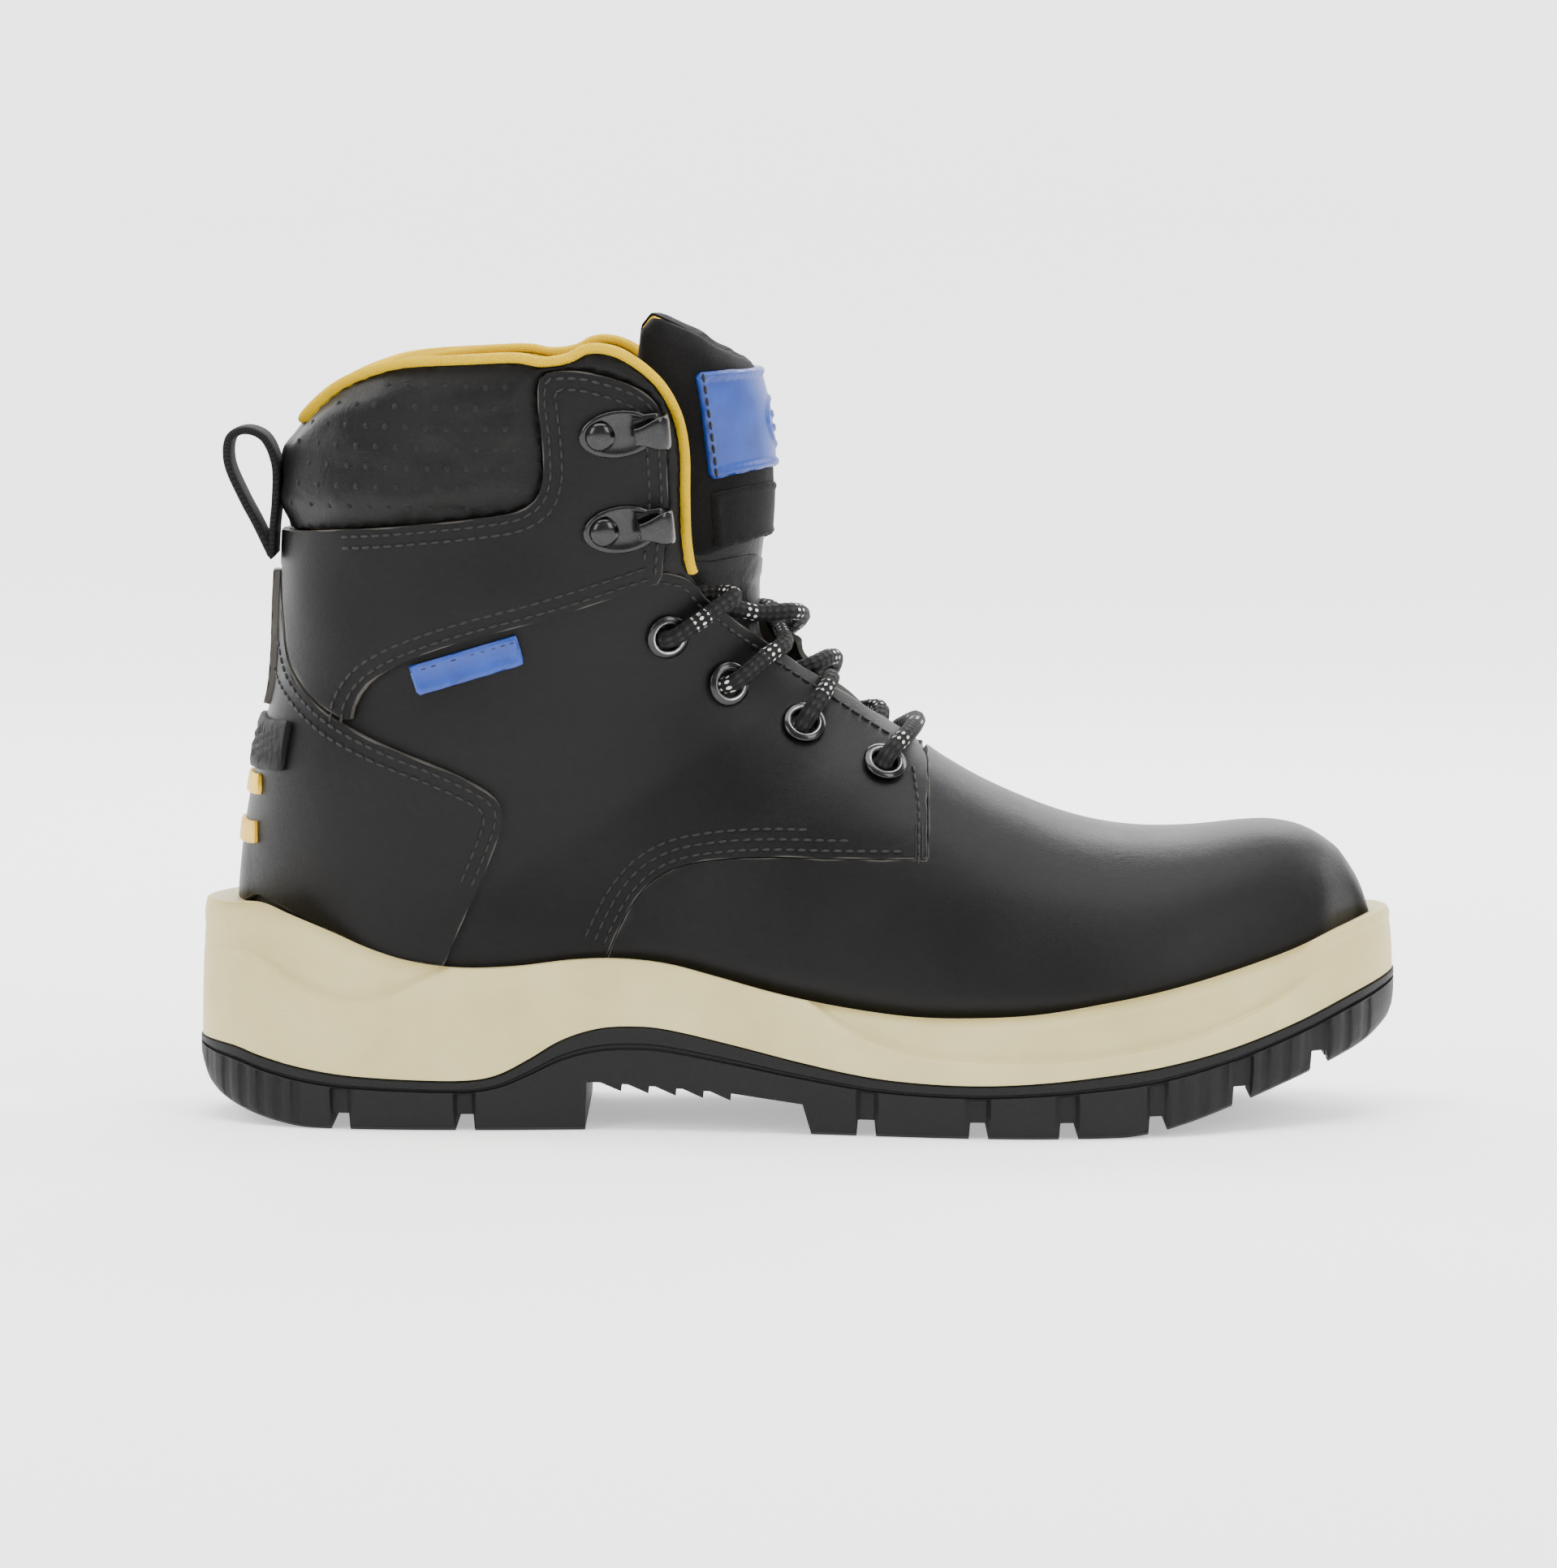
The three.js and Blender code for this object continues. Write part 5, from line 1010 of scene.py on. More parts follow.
ON_OVERLAY, ON_BASE = 2.15, 0.08  # levels of the two leather faces over the last
rows = []
for side, edge in ((-1, facing_edge), (1, facing_edge_medial)):
    panel_side = np.vstack([cuff_seam[16:], hook_panel_top[1:]])
    for inset in (1.8, 4.6):
        rows.append((unrolled(shifted(panel_side, -inset)[:-1 - int(inset)], side), "ridge", ON_OVERLAY))
        rows.append((unrolled(shifted(yoke_lower, -inset)[3:-2], side), "ridge", ON_OVERLAY))
        rows.append((unrolled(shifted(counter_edge, -inset)[8:-14], side), "ridge", ON_OVERLAY))
    for inset in (1.7, 4.2, 6.7):
        rows.append((unrolled(shifted(vamp_seam, inset)[5:-1 - int(inset * 1.5)], side), "ridge", ON_BASE))
    if side < 0:  # the facing is sewn on the lateral side only
        rows.append((unrolled(shifted(np.vstack([tab_top, edge[1:]]), -2.6)[4:-12], side), "ridge", ON_BASE))
    rows.append((unrolled(resampled([(30.2, 68.6), (30.4, 81), (29.2, 90)], 1.0), side), "ridge", ON_BASE))
sewn_rows("upper_stitches", rows, "boot", "leather_black")

bar_tack = [(unrolled(resampled([(30.4 + k, 69.5), (30.4 + k, 77)], 0.8), side), "ridge", 0.12)
            for side in (-1, 1) for k in (-0.8, 0.0, 0.8)]
sewn_rows("bar_tacks", bar_tack, "boot", "leather_black", 0.9, 1.6, 0.5)

# ---- Eyelets and lace hooks: pressed brass and steel, black lacquered ------------------------------
# Eyelets are rolled over a washer inside the facing. Each hook is a pressed plate with a folded tongue,
# held by a tubular rivet whose domed head shows.

black_lacquer, tree, shader = material("Black lacquered pressed metal")
place = object_pattern(tree)
wear = node(tree, "ShaderNodeTexNoise", {"Vector": place, "Scale": 420.0, "Detail": 5.0, "Roughness": 0.7})
tree.links.new(ramp(tree, wear.outputs["Fac"], [(0.35, linear("#0B0B0C")), (0.75, linear("#1C1C1E"))]),
               shader.inputs["Base Color"])
tree.links.new(ramp(tree, wear.outputs["Fac"], [(0.3, (0.2,) * 3 + (1,)), (0.8, (0.36,) * 3 + (1,))]),
               shader.inputs["Roughness"])
shader.inputs["Metallic"].default_value = 0.75
shader.inputs["Coat Weight"].default_value = 0.5
shader.inputs["Coat Roughness"].default_value = 0.12
bumped(tree, shader, wear.outputs["Fac"], 0.08, 0.0002)

bare_rim, tree, shader = material("Bright worn eyelet rim")
scratch = node(tree, "ShaderNodeTexNoise", {"Vector": object_pattern(tree), "Scale": 700.0, "Detail": 3.0})
tree.links.new(ramp(tree, scratch.outputs["Fac"], [(0.3, linear("#8C8A86")), (0.7, linear("#B9B7B2"))]),
               shader.inputs["Base Color"])
shader.inputs["Metallic"].default_value = 1.0
shader.inputs["Roughness"].default_value = 0.28
bumped(tree, shader, scratch.outputs["Fac"], 0.1, 0.0001)

EYELETS = [(21.7, 91.6), (1.3, 101.4), (-17.8, 111.9), (-33, 124.6)]
HOOKS = [(-43, 152.6), (-43.6, 176.6)]


def seat_frame(place, side, direction):
    """A frame on the form: x near a side-view direction, z outwards."""
    point, normal = (v[0] for v in rolled(unrolled([place], side)))
    across = np.cross(normal, (direction[0], 0, direction[1]))
    across /= np.linalg.norm(across)
    return point, np.array([np.cross(across, normal), across, normal])


def placed(vertices, frame_):
    point, axes = frame_
    return np.asarray(vertices) @ axes + point


def turned(profile, sides=40):
    """A closed lathe ring or knob; profile points are (radius, height), the first and last may be on the axis."""
    rings = [[(r * math.cos(2 * math.pi * j / sides), r * math.sin(2 * math.pi * j / sides), z) for j in range(sides)]
             for r, z in profile]
    vertices = np.vstack(rings)
    faces = [(i * sides + j, i * sides + (j + 1) % sides, (i + 1) * sides + (j + 1) % sides, (i + 1) * sides + j)
             for i in range(len(profile) - 1) for j in range(sides)]
    return vertices, faces


def welded(piece):
    bm = bmesh.new()
    bm.from_mesh(piece.data)
    bmesh.ops.remove_doubles(bm, verts=bm.verts, dist=1e-6)
    bmesh.ops.recalc_face_normals(bm, faces=bm.faces)
    bm.to_mesh(piece.data)
    bm.free()


rolled_edge = [(3.4, -3.9), (3.9, -3.9), (3.9, 0.9), (5.3, 0.85), (5.6, 1.0), (5.62, 1.2), (5.45, 1.42), (5.1, 1.6),
               (4.6, 1.8),
               (4.2, 1.86), (3.8, 1.8), (3.5, 1.55), (3.4, 1.2), (3.4, -3.9)]
hook_lip_path = [(2.4, 0.5), (5.0, 0.5)] + [
    (7.45 + 3.05 * math.sin(a), 3.55 - 3.05 * math.cos(a)) for a in np.linspace(0, math.pi, 12)] + [(4.6, 6.75),
            (1.9, 6.95)]


def hook_shape():
    """Base plate and folded tongue, as two closed shells in the hook's own frame."""
    a = np.linspace(0, 2 * np.pi, 48, endpoint=False)
    rings = [np.column_stack([-1.5 + 10 * k * np.cos(a), 6 * k * np.sin(a), np.full(48, z)])
             for k, z in ((0.93, 0.0), (1, 0.15), (1, 0.55), (0.97, 0.85), (0.9, 1.0), (0.8, 1.0), (0.76, 0.88),
                          (0.4, 0.88))]
    plate = loft(rings)
    path = resampled(hook_lip_path, 0.7)
    d = np.gradient(path, axis=0)
    d /= np.linalg.norm(d, axis=1)[:, None]
    bars = []
    for i, (p, t) in enumerate(zip(path, d)):
        share = i / (len(path) - 1)
        half = 4.3 * (1 - 0.5 * ease(0.62, 1.0, share)) * (0.86 + 0.14 * ease(0, 0.15, share))
        b = np.linspace(0, 2 * np.pi, 20, endpoint=False)
        y = half * np.sign(np.cos(b)) * np.abs(np.cos(b)) ** 0.6
        thick = 0.75 * np.sign(np.sin(b)) * np.abs(np.sin(b)) ** 0.6 + 0.3 * ease(0.7, 0.95,
                share) * (1 - (y / half) ** 2) * (np.sin(b) < 0)
        bars.append(np.column_stack([p[0] - t[1] * thick * -1, y, p[1] - t[0] * thick]))
    lip = loft(bars)
    return plate, lip


plate, lip = hook_shape()
hook_vertices = np.vstack([plate[0], lip[0]])
hook_faces = plate[1] + [tuple(i + len(plate[0]) for i in f) for f in lip[1]]
dome = [(0, -3.5), (2.6, -3.5), (2.6, -3.0), (1.5, -3.0), (1.5, 3.75), (3.4, 3.75), (3.7, 3.9), (3.65, 4.2),
        (3.2, 4.7), (2.3, 5.15), (1.2, 5.4),
        (0, 5.46)]
for side, which in ((-1, "lateral"), (1, "medial")):
    for i, place in enumerate(EYELETS):
        seat = seat_frame(place, side, (0.8, -0.6))
        vertices, faces = turned(rolled_edge)
        eyelet = mesh_object(f"eyelet_metal_{which}_{i + 1}", placed(vertices, seat), faces, black_lacquer, 50)
        welded(eyelet)
        eyelet.data.materials.append(bare_rim)
        for face in eyelet.data.polygons:
            local = (np.array(face.center) * 1000 - seat[0]) @ seat[1].T
            if local[2] > 0.9 and math.hypot(local[0], local[1]) < 4.25:
                face.material_index = 1
        stands_for(eyelet, "boot", "metal_black", f"eyelet_{which}_{i + 1}")
    for i, place in enumerate(HOOKS):
        seat = seat_frame(place, side, (math.cos(0.1), math.sin(0.1)))
        raised = (seat[0] + seat[1][2] * 2.4, seat[1])
        hook = mesh_object(f"hook_metal_{which}_{i + 1}", placed(hook_vertices, raised), hook_faces, black_lacquer,
                           50)
        stands_for(hook, "boot", "metal_black", f"hook_{which}_{i + 1}")
        vertices, faces = turned(dome, 32)
        head = (seat[0] + seat[1][0] * -6.2, seat[1])
        rivet = mesh_object(f"rivet_metal_{which}_{i + 1}", placed(vertices, head), faces, black_lacquer, 50)
        welded(rivet)
        stands_for(rivet, "boot", "metal_black", f"rivet_{which}_{i + 1}")

# ---- Tongue: padded nubuck half with a yellow lining, and a folded lower half ----------------------
# The padded half is sewn across the lower one, which is one layer of soft leather gusseted to the sides.

nubuck, tree, shader = material("Black nubuck")
place = object_pattern(tree)
nap = node(tree, "ShaderNodeTexNoise", {"Vector": place, "Scale": 2200.0, "Detail": 3.0})
brushed = node(tree, "ShaderNodeTexNoise", {"Vector": place, "Scale": 45.0, "Detail": 4.0})
mixed = node(tree, "ShaderNodeMath", {0: nap.outputs["Fac"], 1: brushed.outputs["Fac"]}, operation="MULTIPLY")
tree.links.new(ramp(tree, mixed.outputs[0], [(0.12, linear("#060606")), (0.42, linear("#131212"))]),
               shader.inputs["Base Color"])
shader.inputs["Roughness"].default_value = 0.95
shader.inputs["Specular IOR Level"].default_value = 0.1
shader.inputs["Sheen Weight"].default_value = 0.08
first = bumped(tree, shader, nap.outputs["Fac"], 0.5, 0.0003)
bumped(tree, shader, brushed.outputs["Fac"], 0.3, 0.0015, first)


def across_ridge(points, z_start, z_end):
    """Outline of a piece that lies over the ridge, from side-view points between two heights on the ridge."""
    ridge = lambda z: (float(fan_angle(np.interp(z, ridge_line[150:, 1], ridge_line[150:, 0]), z)) * FAN, 0.0)
    half = np.vstack([[ridge(z_start)], unrolled(points), [ridge(z_end)]])
    return np.vstack([half, half[1:-1][::-1] * (1, -1)])


tongue_side = [(-6, 144.6), (-20, 141.6), (-27, 143.2), (-34.6, 145.2), (-37, 155), (-38.6, 172), (-38.8, 190),
               (-37, 201),
               (-32.5, 205.2), (-28, 204.8), (-19.5, 202.4), (-13, 199.4), (-9, 198.2), (-6, 197.6)]


def tongue_pad(d, point, plan):
    wave = np.array([noise.noise(Vector(p) * 0.08) for p in point])
    return 0.9 * ease(1, 7, d) + 0.5 * wave * ease(1, 5, d)


tongue = panel("tongue_padding", across_ridge(tongue_side, 146.5, 197), nubuck, -13.2, -9.2, step=1.8, soft=2.2,
               swell=tongue_pad)
stands_for(tongue, "tongue_flap", "suede_black", "tongue")
lining_side = [(-6, 146), (-20, 143), (-27, 144.6), (-33.6, 146.6), (-36.4, 157), (-37.8, 172), (-38, 190),
               (-36.2, 200),
               (-32, 204), (-28, 203.4), (-20, 201), (-14, 198), (-10, 196.8), (-7, 196.2)]
tongue_back = panel("tongue_lining_knit", across_ridge(lining_side, 147.6, 195.6), yellow_knit, -14.6, -13.3,
                    step=2.2, soft=0.6)
stands_for(tongue_back, "tongue_flap", "textile_yellow", "tongue_lining")


def folds(d, point, plan):
    return (0.9 * np.abs(np.sin((plan[:, 0] + 0.15 * plan[:, 1]) * 0.33)) - 0.3) * ease(1, 6, d)


lower_side = [(48.4, 80), (48.5, 67), (40, 64), (27, 66.5), (13, 69.5), (0, 74), (-12, 80), (-21, 88), (-26, 98),
              (-26.5, 112),
              (-27, 126), (-28, 140.6), (-14, 140.8)]
lower = panel("lower_tongue_leather", across_ridge(lower_side, 85.4, 140.8), soft_leather, -11.4, -9.4, step=2.0,
              soft=0.8, swell=folds)
stands_for(lower, "boot", "leather_black", "tongue_lower")

fold_side = [(-6, 134), (-20, 133), (-26.4, 134), (-27.6, 141.5), (-30, 149), (-18, 150), (-6, 151)]
fold = panel("tongue_fold_leather", across_ridge(fold_side, 134, 151.5), soft_leather, -11.6, -9.9, step=1.8,
             soft=0.5)
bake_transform(fold)

blue_rubber, tree, shader = material("Moulded blue rubber")
cloud = node(tree, "ShaderNodeTexNoise", {"Vector": object_pattern(tree), "Scale": 160.0, "Detail": 4.0})
tree.links.new(ramp(tree, cloud.outputs["Fac"], [(0.3, linear("#062C78")), (0.7, linear("#0D3A90"))]),
               shader.inputs["Base Color"])
shader.inputs["Roughness"].default_value = 0.42
bumped(tree, shader, cloud.outputs["Fac"], 0.2, 0.0004)


def badge_relief(d, point, plan):
    """A raised rim and a plain raised ring with three bars in the middle."""
    middle = plan.mean(axis=0)
    r = np.hypot(plan[:, 0] - middle[0], (plan[:, 1] - middle[1]))
    rim = 0.7 * ease(0.3, 0.8, d) * (1 - ease(1.9, 2.4, d))
    band = 0.6 * ease(6.4, 6.9, r) * (1 - ease(8.1, 8.6, r))
    bars = 0.6 * (1 - ease(0.8, 1.2, np.abs((plan[:, 0] - middle[0] + 9) % 4.4 - 2.2))) * (1 - ease(4.6, 5.1, r))
    return rim + band + bars - 0.5


badge_side = [(-4, 193.6), (-12, 192.2), (-20.6, 190.8), (-21.9, 189.4), (-18.6, 163.8), (-17.2, 162.8),
              (-8, 164.6), (-1, 165.9)]
badge = panel("badge_rubber", across_ridge(badge_side[::-1], 166.4, 194), blue_rubber, -8.6, -6.9, step=0.8,
              soft=0.6, swell=badge_relief)
stands_for(badge, "tongue_flap", "rubber_blue", "tongue_badge")
label_side = [(-6, 146.3), (-16.5, 144.6), (-17.6, 158.8), (-8, 160.6)]
label = panel("label_nubuck", across_ridge(label_side, 147.9, 162.2), nubuck, -8.6, -7.8, step=1.1, soft=0.4,
              swell=lambda d, point, plan: 0.35 * ease(0.4, 0.8, d) * (1 - ease(1.4, 1.9, d)))
stands_for(label, "tongue_flap", "suede_black", "tongue_label")
tongue_rows = [(unrolled(resampled([(-20.6, 189.4), (-17.4, 164.6)], 1.0), side), "ridge", -6.25) for side in (-1, 1)]
sewn_rows("tongue_stitches", tongue_rows, "tongue_flap", "suede_black")

# ---- Pull loop and side tag: folded woven tape, and a blue rubber label sewn along one edge --------
# The tape is folded on itself and caught under the back strip. The tag is plain, with a raised border.

tape, tree, shader = material("Black woven polyester tape")
along = node(tree, "ShaderNodeAttribute", attribute_name="along")
around = node(tree, "ShaderNodeAttribute", attribute_name="around")
plan = node(tree, "ShaderNodeCombineXYZ", {"X": along.outputs["Fac"], "Y": around.outputs["Fac"]})
twill = node(tree, "ShaderNodeTexWave", {"Vector": plan.outputs["Vector"], "Scale": 0.55, "Distortion": 0.4},
             bands_direction="DIAGONAL")
weft = node(tree, "ShaderNodeTexWave", {"Vector": plan.outputs["Vector"], "Scale": 0.9, "Distortion": 0.4},
            bands_direction="X")
cross = node(tree, "ShaderNodeMath", {0: twill.outputs["Fac"], 1: weft.outputs["Fac"]}, operation="MULTIPLY")
tree.links.new(ramp(tree, cross.outputs[0], [(0.0, linear("#0B0B0B")), (0.7, linear("#272627"))]),
               shader.inputs["Base Color"])
shader.inputs["Roughness"].default_value = 0.85
shader.inputs["Specular IOR Level"].default_value = 0.2
bumped(tree, shader, cross.outputs[0], 0.6, 0.0005)

loop_line = flow([(-134, 143.5), (-137.8, 151.5), (-141.6, 158.8), (-145, 167), (-144.6, 173.4), (-140.4, 175.4),
                  (-135.6, 173.2), (-132.9, 166.5), (-132.9, 158), (-133.6, 150.5), (-134, 143.5)], 90)[:-1]
turn = np.roll(loop_line, -1, axis=0) - np.roll(loop_line, 1, axis=0)
turn /= np.linalg.norm(turn, axis=1)[:, None]
rings = []
for (x, z), (dx, dz) in zip(loop_line, turn):
    a = np.linspace(0, 2 * np.pi, 24, endpoint=False)
    out = np.sign(np.sin(a)) * np.abs(np.sin(a)) ** 0.35 * 1.1
    y = 2 + np.sign(np.cos(a)) * np.abs(np.cos(a)) ** 0.35 * 9
    rings.append(np.column_stack([x + dz * out, y, z - dx * out]))
vertices, faces = loft(rings + [rings[0]], closed_ends=False)
count = len(loop_line) * 24
faces = [tuple(i % count for i in f) for f in faces]
pull = mesh_object("pull_loop_tape", vertices[:count], faces, tape, 60, {
    "along": np.repeat(np.arange(len(loop_line)) * 0.85, 24),
    "around": np.tile(np.cos(np.linspace(0, 2 * np.pi, 24, endpoint=False)) * 9, len(loop_line))})
stands_for(pull, "pull_loop", "suede_black", "pull_loop")

tag_side = [(-97.4, 117.6), (-70.6, 125.6), (-68.6, 118.4), (-95.2, 110.3)]
tag = panel("side_tag_rubber", unrolled(resampled(tag_side + tag_side[:1], 1.0)), blue_rubber, 0.3, 1.6, step=0.9,
            soft=0.5,
            swell=lambda d, point, plan: 0.4 * ease(0.3, 0.7, d) * (1 - ease(1.2, 1.6, d)))
stands_for(tag, "side_tag", "rubber_blue", "side_tag")
sewn_rows("tag_stitches", [(unrolled(resampled([(-96.2, 116.4), (-71.4, 123.8)], 1.0)), "ridge", 1.62)], "side_tag",
          "rubber_blue",
          2.6, 2.0, 0.5)

# ---- Lace: one braided polyester cord, 4.5 mm, black with white flecks ------------------------------
# It runs through all eight eyelets; both ends hang inside the boot and lie coiled on the footbed, each
# closed by a shrunk film tip. The route is the CAD model's own.

LACE_RADIUS = 2.25
laced = [
    (-67, -18.6, 50), (-63.5, -17, 66), (-60, -14, 86), (-54.7, -11.2, 106.3), (-48.2, -16.8, 120.6),
    (-41.1, -21.7, 130.6),
    (-33.7, -22.9, 134.2), (-26.4, -20.8, 134.5), (-19.6, -20.2, 134.8), (-16.3, -23, 134.5), (-20, -27.8, 131.9),
    (-25.9, -30.7, 127.9), (-32, -31.2, 124.1), (-34.8, -24.2, 125.7), (-20.1, -16.1, 131), (-10.2, -8.8, 129.2),
    (-2, -3.4, 129.2), (0.6, 4.5, 128.2), (0.6, 12.8, 126.4), (-1.6, 18.3, 124.2), (-7.3, 25.3, 120.1),
    (-16.9, 29, 112.3),
    (-19.4, 21.6, 111.3), (-7.3, 14.9, 113.2), (-0.4, 12.4, 112.4), (3, 11.1, 110.1), (4.9, 6.1, 109.8),
    (7.3, 0.5, 111.2),
    (8.4, -5.8, 112.4), (6.8, -13.1, 109.8), (2.2, -18.5, 103.2), (0.2, -11.9, 98.6), (10.1, -4.4, 99.8),
    (15.5, 2.5, 99.8),
    (18.3, 10.7, 97.8), (19.7, 13.9, 93.9), (20.4, 19.4, 89.3), (22.5, 26, 93), (25.7, 24.4, 96.7),
    (28.2, 20.9, 98.6),
    (30.2, 12.1, 100.3), (30.1, -0.8, 100.4), (27.9, -12.7, 98.9), (25.8, -17.8, 97.3), (22.4, -21.4, 93.7),
    (20.5, -15.9, 88.2), (19.9, -7, 92.7), (20.7, -1, 98.9), (20.8, 9, 103.4), (16, 13.3, 102.7), (10.1, 13.9, 101.7),
    (0.4, 19.3, 100), (1.9, 26.6, 102.3), (6.3, 24.9, 108.7), (8.6, 19.7, 112.7), (9.5, 13.7, 115.9),
    (7.8, 7.3, 116.6),
    (3.7, 1.1, 115.2), (-1.3, -1.5, 113.8), (-5.9, -4.1, 113.8), (-12.5, -8.9, 113.1), (-20, -15.2, 111.6),
    (-16.3, -22.6, 112.4), (-7.3, -17.1, 119.2), (-3.6, -11.3, 121.4), (-4.3, -3, 123.8), (-6, 3.2, 126.2),
    (-6.7, 9.5, 129), (-10.6, 13.8, 129.3), (-19.1, 19.6, 129), (-34.6, 27, 125.6), (-32.1, 34.6, 124.3),
    (-26, 33.9, 128.4),
    (-20.1, 30.9, 133.5), (-16.3, 26.1, 135.7), (-19.4, 23, 135.5), (-26.2, 23.2, 133.6), (-33.6, 25.1, 133.4),
    (-40.9, 24.1, 129.7), (-47.5, 19.8, 119.3), (-53.6, 15.1, 104.7), (-59, 18, 86), (-62.5, 21, 67), (-66, 22.6, 55)]


def oval_turn(side, heel, front, radius, lift):
    """A flat oval turn of the lace on the footbed."""
    lane = 5.0
    plan = [(heel + 18, side * radius), (heel + 9, side * radius)]
    plan += [(heel - radius * math.sin(math.pi * i / 6), side * radius * math.cos(math.pi * i / 6)) for i in range(7)]
    plan.append(((heel + front) / 2, -side * radius))
    for i in range(7):
        a, r = math.pi * i / 6, radius - lane * i / 6
        plan.append((front + r * math.sin(a), -side * r * math.cos(a)))
    plan.append((heel + 14, side * (radius - lane)))
    return [(x, 2 + y, 36.5 + lift + 5.4 * float(ease(-84, -46, x))) for x, y in plan]


def centripetal(points, per_span):
    """Centripetal Catmull-Rom through the points, as the CAD route is drawn."""
    p = np.array(points, float)
    p = np.vstack([2 * p[0] - p[1], p, 2 * p[-1] - p[-2]])
    line = []
    for i in range(1, len(p) - 2):
        p0, p1, p2, p3 = p[i - 1:i + 3]
        d0, d1, d2 = (max(1e-4, np.linalg.norm(b - a)) ** 0.5 for a, b in ((p0, p1), (p1, p2), (p2, p3)))
        t1 = ((p1 - p0) / d0 - (p2 - p0) / (d0 + d1) + (p2 - p1) / d1) * d1
        t2 = ((p2 - p1) / d1 - (p3 - p1) / (d1 + d2) + (p3 - p2) / d2) * d1
        w = np.linspace(0, 1, per_span, endpoint=False)[:, None]
        line.append(p1 + t1 * w + (3 * p2 - 3 * p1 - 2 * t1 - t2) * w ** 2 + (2 * p1 - 2 * p2 + t1 + t2) * w ** 3)
    return np.vstack([*line, p[-2:-1]])


def carried_frames(line):
    """Directions across a line that turn with it but don't twist."""
    tangent = np.gradient(line, axis=0)
    tangent /= np.linalg.norm(tangent, axis=1)[:, None]
    normal, out = np.array([0.0, 0.0, 1.0]), []
    for t in tangent:
        normal = normal - t * (normal @ t)
        normal /= np.linalg.norm(normal)
        out.append(normal)
    out = np.array(out)
    return tangent, out, np.cross(tangent, out)


route = (oval_turn(-1, -100, -62, 20, 0)[::-1] + laced + oval_turn(1, -100, -84, 18, 4.9))
LACE_STEP, BRAID_TURN = 0.75, 1.45
lace_line = resampled(centripetal(route, 14), LACE_STEP)
tangent, normal, binormal = carried_frames(lace_line)
lace_run = np.arange(len(lace_line)) * LACE_STEP
SIDES = 16
theta = np.arange(SIDES) * 2 * np.pi / SIDES
strand = np.sin(4 * theta[None] + lace_run[:, None] * BRAID_TURN) * np.sin(4 * theta[None] - lace_run[:,
        None] * BRAID_TURN)
radius = LACE_RADIUS * (0.985 + 0.055 * strand)
tube = (lace_line[:, None] + radius[..., None] * (np.cos(theta)[None, :, None] * normal[:, None]
                                                  + np.sin(theta)[None, :, None] * binormal[:, None]))

braid, tree, shader = material("Braided polyester cord with white tracer")
along = node(tree, "ShaderNodeAttribute", attribute_name="along")
around = node(tree, "ShaderNodeAttribute", attribute_name="around")
left = node(tree, "ShaderNodeMath", {0: along.outputs["Fac"], 1: BRAID_TURN, 2: around.outputs["Fac"]},
            operation="MULTIPLY_ADD")
back = node(tree, "ShaderNodeMath", {0: around.outputs["Fac"], 1: -1.0}, operation="MULTIPLY")
right = node(tree, "ShaderNodeMath", {0: along.outputs["Fac"], 1: BRAID_TURN, 2: back.outputs[0]},
             operation="MULTIPLY_ADD")
wave_left = node(tree, "ShaderNodeMath", {0: left.outputs[0]}, operation="SINE")
wave_right = node(tree, "ShaderNodeMath", {0: right.outputs[0]}, operation="SINE")
weave = node(tree, "ShaderNodeMath", {0: wave_left.outputs[0], 1: wave_right.outputs[0]}, operation="MULTIPLY")
group = node(tree, "ShaderNodeMath", {0: along.outputs["Fac"], 1: 0.42}, operation="MULTIPLY")
group_wave = node(tree, "ShaderNodeMath", {0: group.outputs[0]}, operation="SINE")
tracer = node(tree, "ShaderNodeMath", {0: weave.outputs[0], 1: 0.5}, operation="GREATER_THAN")
sparse = node(tree, "ShaderNodeMath", {0: group_wave.outputs[0], 1: 0.62}, operation="GREATER_THAN")
fleck = node(tree, "ShaderNodeMath", {0: tracer.outputs[0], 1: sparse.outputs[0]}, operation="MULTIPLY")
yarn = ramp(tree, weave.outputs[0], [(0.0, linear("#090909")), (0.9, linear("#242323"))])
coloured = node(tree, "ShaderNodeMix", {"Factor": fleck.outputs[0], "A": yarn, "B": linear("#D5D3CC")},
                data_type="RGBA")
tree.links.new(coloured.outputs["Result"], shader.inputs["Base Color"])
shader.inputs["Roughness"].default_value = 0.78
shader.inputs["Specular IOR Level"].default_value = 0.25
bumped(tree, shader, weave.outputs[0], 0.7, 0.0005)

vertices, faces = loft(list(tube))
lace = mesh_object("lace_braid", vertices, faces, braid, 60, {
    "along": np.concatenate([np.repeat(lace_run, SIDES), [0, 0]]),
    "around": np.concatenate([np.tile(4 * theta, len(lace_line)), [0, 0]])})
stands_for(lace, "boot", "lace_black", "lace")

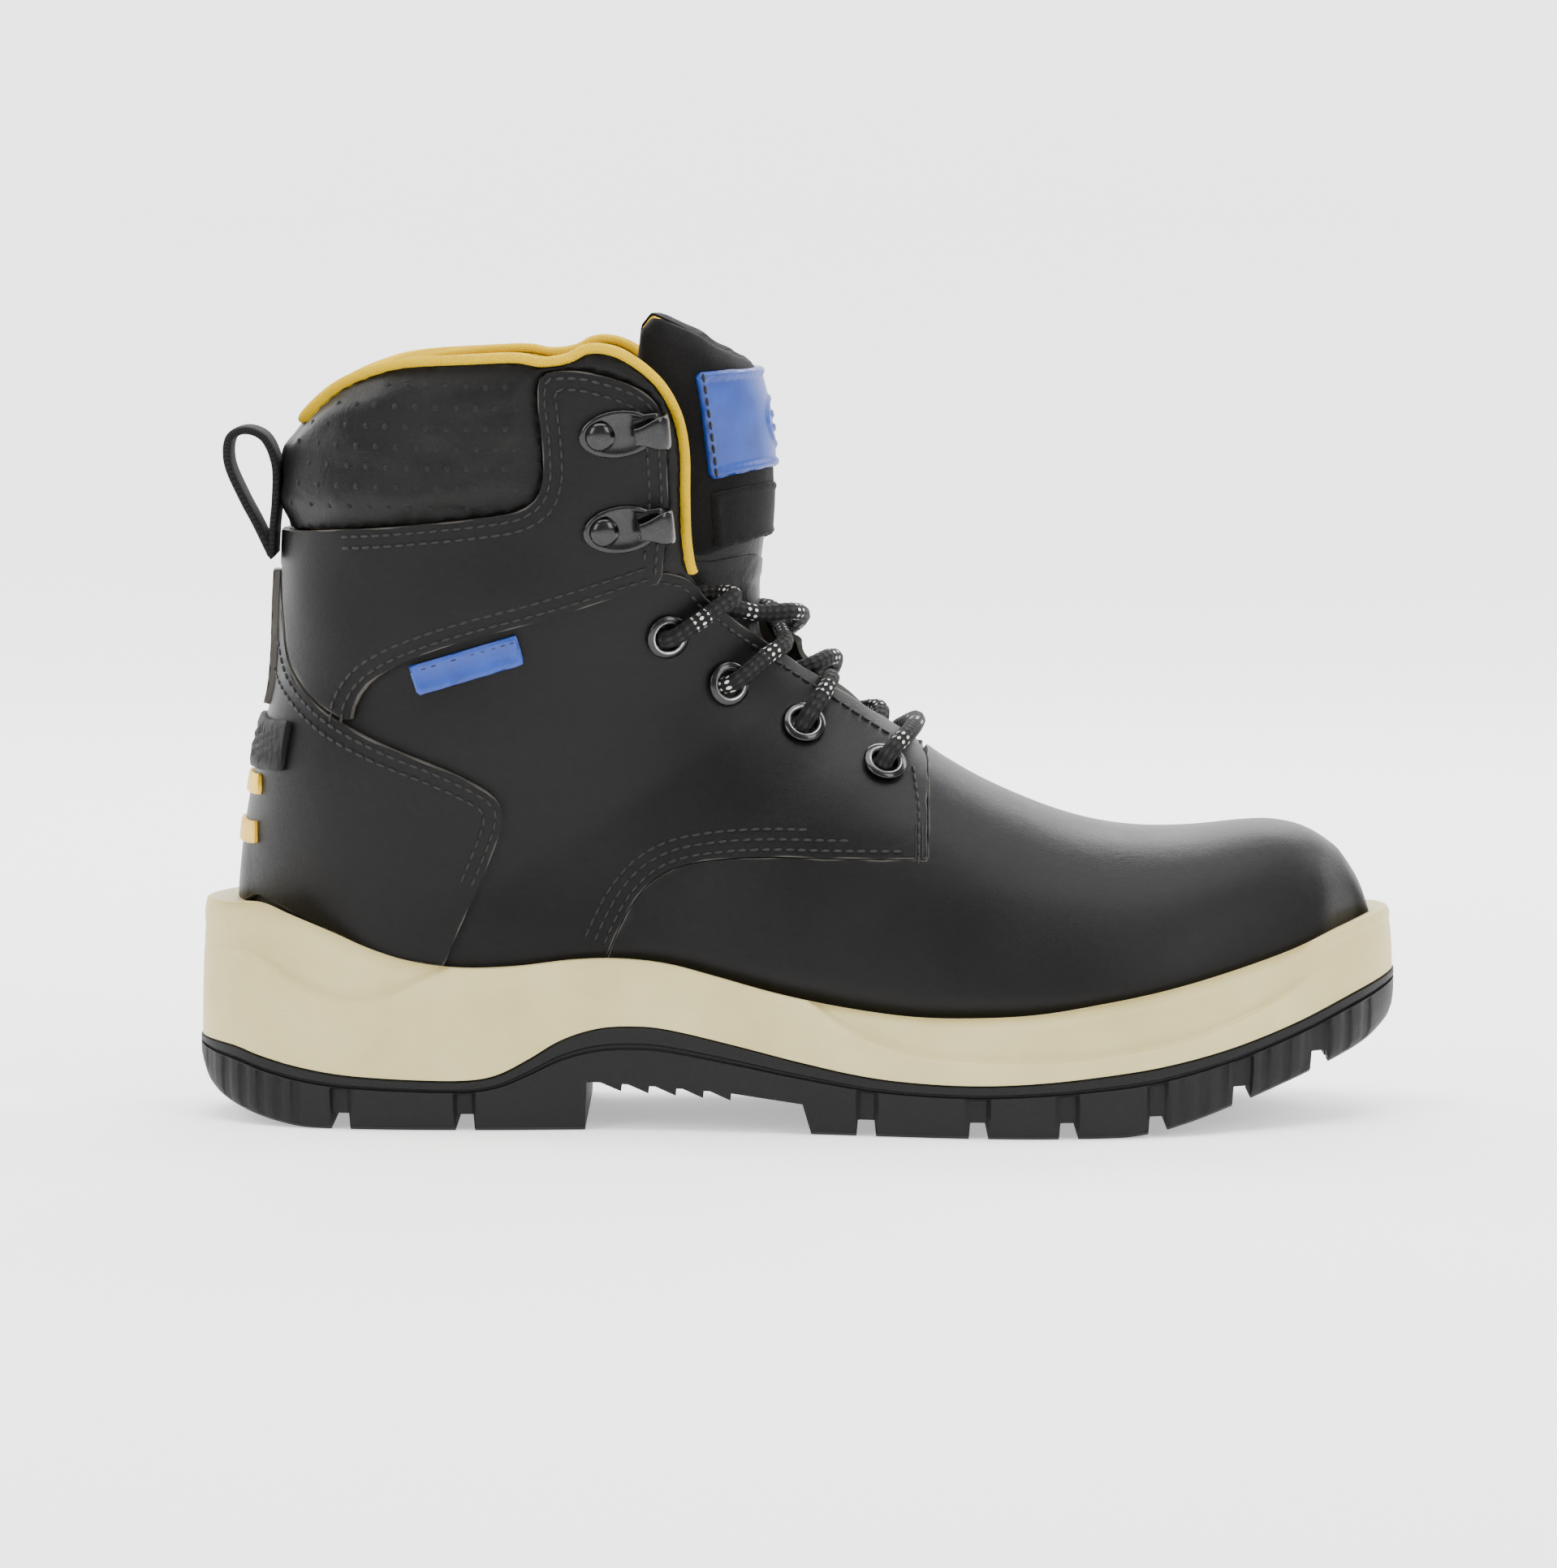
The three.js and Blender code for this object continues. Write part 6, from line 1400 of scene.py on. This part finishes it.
film, tree, shader = material("Shrunk acetate film")
haze = node(tree, "ShaderNodeTexNoise", {"Vector": object_pattern(tree), "Scale": 500.0})
tree.links.new(ramp(tree, haze.outputs["Fac"], [(0.3, linear("#0A0A0B")), (0.7, linear("#19191B"))]),
               shader.inputs["Base Color"])
shader.inputs["Roughness"].default_value = 0.2
bumped(tree, shader, haze.outputs["Fac"], 0.1, 0.0002)
for which, i, sign in (("lateral", 0, -1), ("medial", -1, 1)):
    end, way = lace_line[i], tangent[i] * sign
    rings = []
    for s, r in ((0.3, 1.2), (0.35, 1.55), (0.8, 1.6), (8, 1.5), (15.4, 1.3), (16.1, 1.2), (16.3, 0.9)):
        a = np.linspace(0, 2 * np.pi, 20, endpoint=False)
        rings.append(end + way * s + r * (np.cos(a)[:, None] * normal[i] + np.sin(a)[:, None] * binormal[i]))
    tip = mesh_object(f"lace_tip_{which}", *loft(rings), film, 50)
    stands_for(tip, "boot", "aglet_black", f"aglet_{which}")

# ---- Inside: steel toe cap and plate, fibre board, footbed and stiffeners -------------------------
# These CAD pieces are hidden or seen only down the shaft, and keep their own meshes.


def inner_finish(name, dark, light, rough, scale, metallic=0.0, grain=0.3):
    made, tree, shader = material(name)
    cloud = node(tree, "ShaderNodeTexNoise", {"Vector": object_pattern(tree), "Scale": scale, "Detail": 5.0})
    tree.links.new(ramp(tree, cloud.outputs["Fac"], [(0.3, linear(dark)), (0.7, linear(light))]),
                   shader.inputs["Base Color"])
    shader.inputs["Roughness"].default_value = rough
    shader.inputs["Metallic"].default_value = metallic
    bumped(tree, shader, cloud.outputs["Fac"], grain, 0.0004)
    return made


plain_steel = inner_finish("Heat-treated steel sheet", "#7E7E7C", "#A3A29E", 0.42, 220.0, 1.0, 0.1)
fibre = inner_finish("Pressed cellulose fibre board", "#93815F", "#B8A888", 0.9, 320.0)
felt = inner_finish("Grey non-woven lining", "#6E6D68", "#8A8983", 0.95, 700.0)
covered_foam = inner_finish("Footbed foam with textile cover", "#2E2E30", "#4A4A4D", 0.95, 900.0, 0.0, 0.6)
bare_foam = inner_finish("Open-cell polyurethane foam", "#B9B4A2", "#D8D4C8", 1.0, 600.0, 0.0, 0.6)
gusset_skin = inner_finish("Thin gusset leather", "#131211", "#201E1D", 0.6, 260.0)
for finish, names in ((plain_steel, ["toe_cap",
                                     "midsole_plate"] + [f"washer_{w}_{i}" for w in ("lateral",
                                             "medial") for i in range(1, 5)]),
                      (fibre, ["insole_board", "heel_stiffener"]), (felt, ["vamp_lining"]),
                      (covered_foam, ["footbed"]),
                      (bare_foam, ["collar_foam"]), (gusset_skin, ["tongue_gusset"])):
    for name in names:
        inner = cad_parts[name]
        inner.data.materials.clear()
        inner.data.materials.append(finish)

low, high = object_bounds()
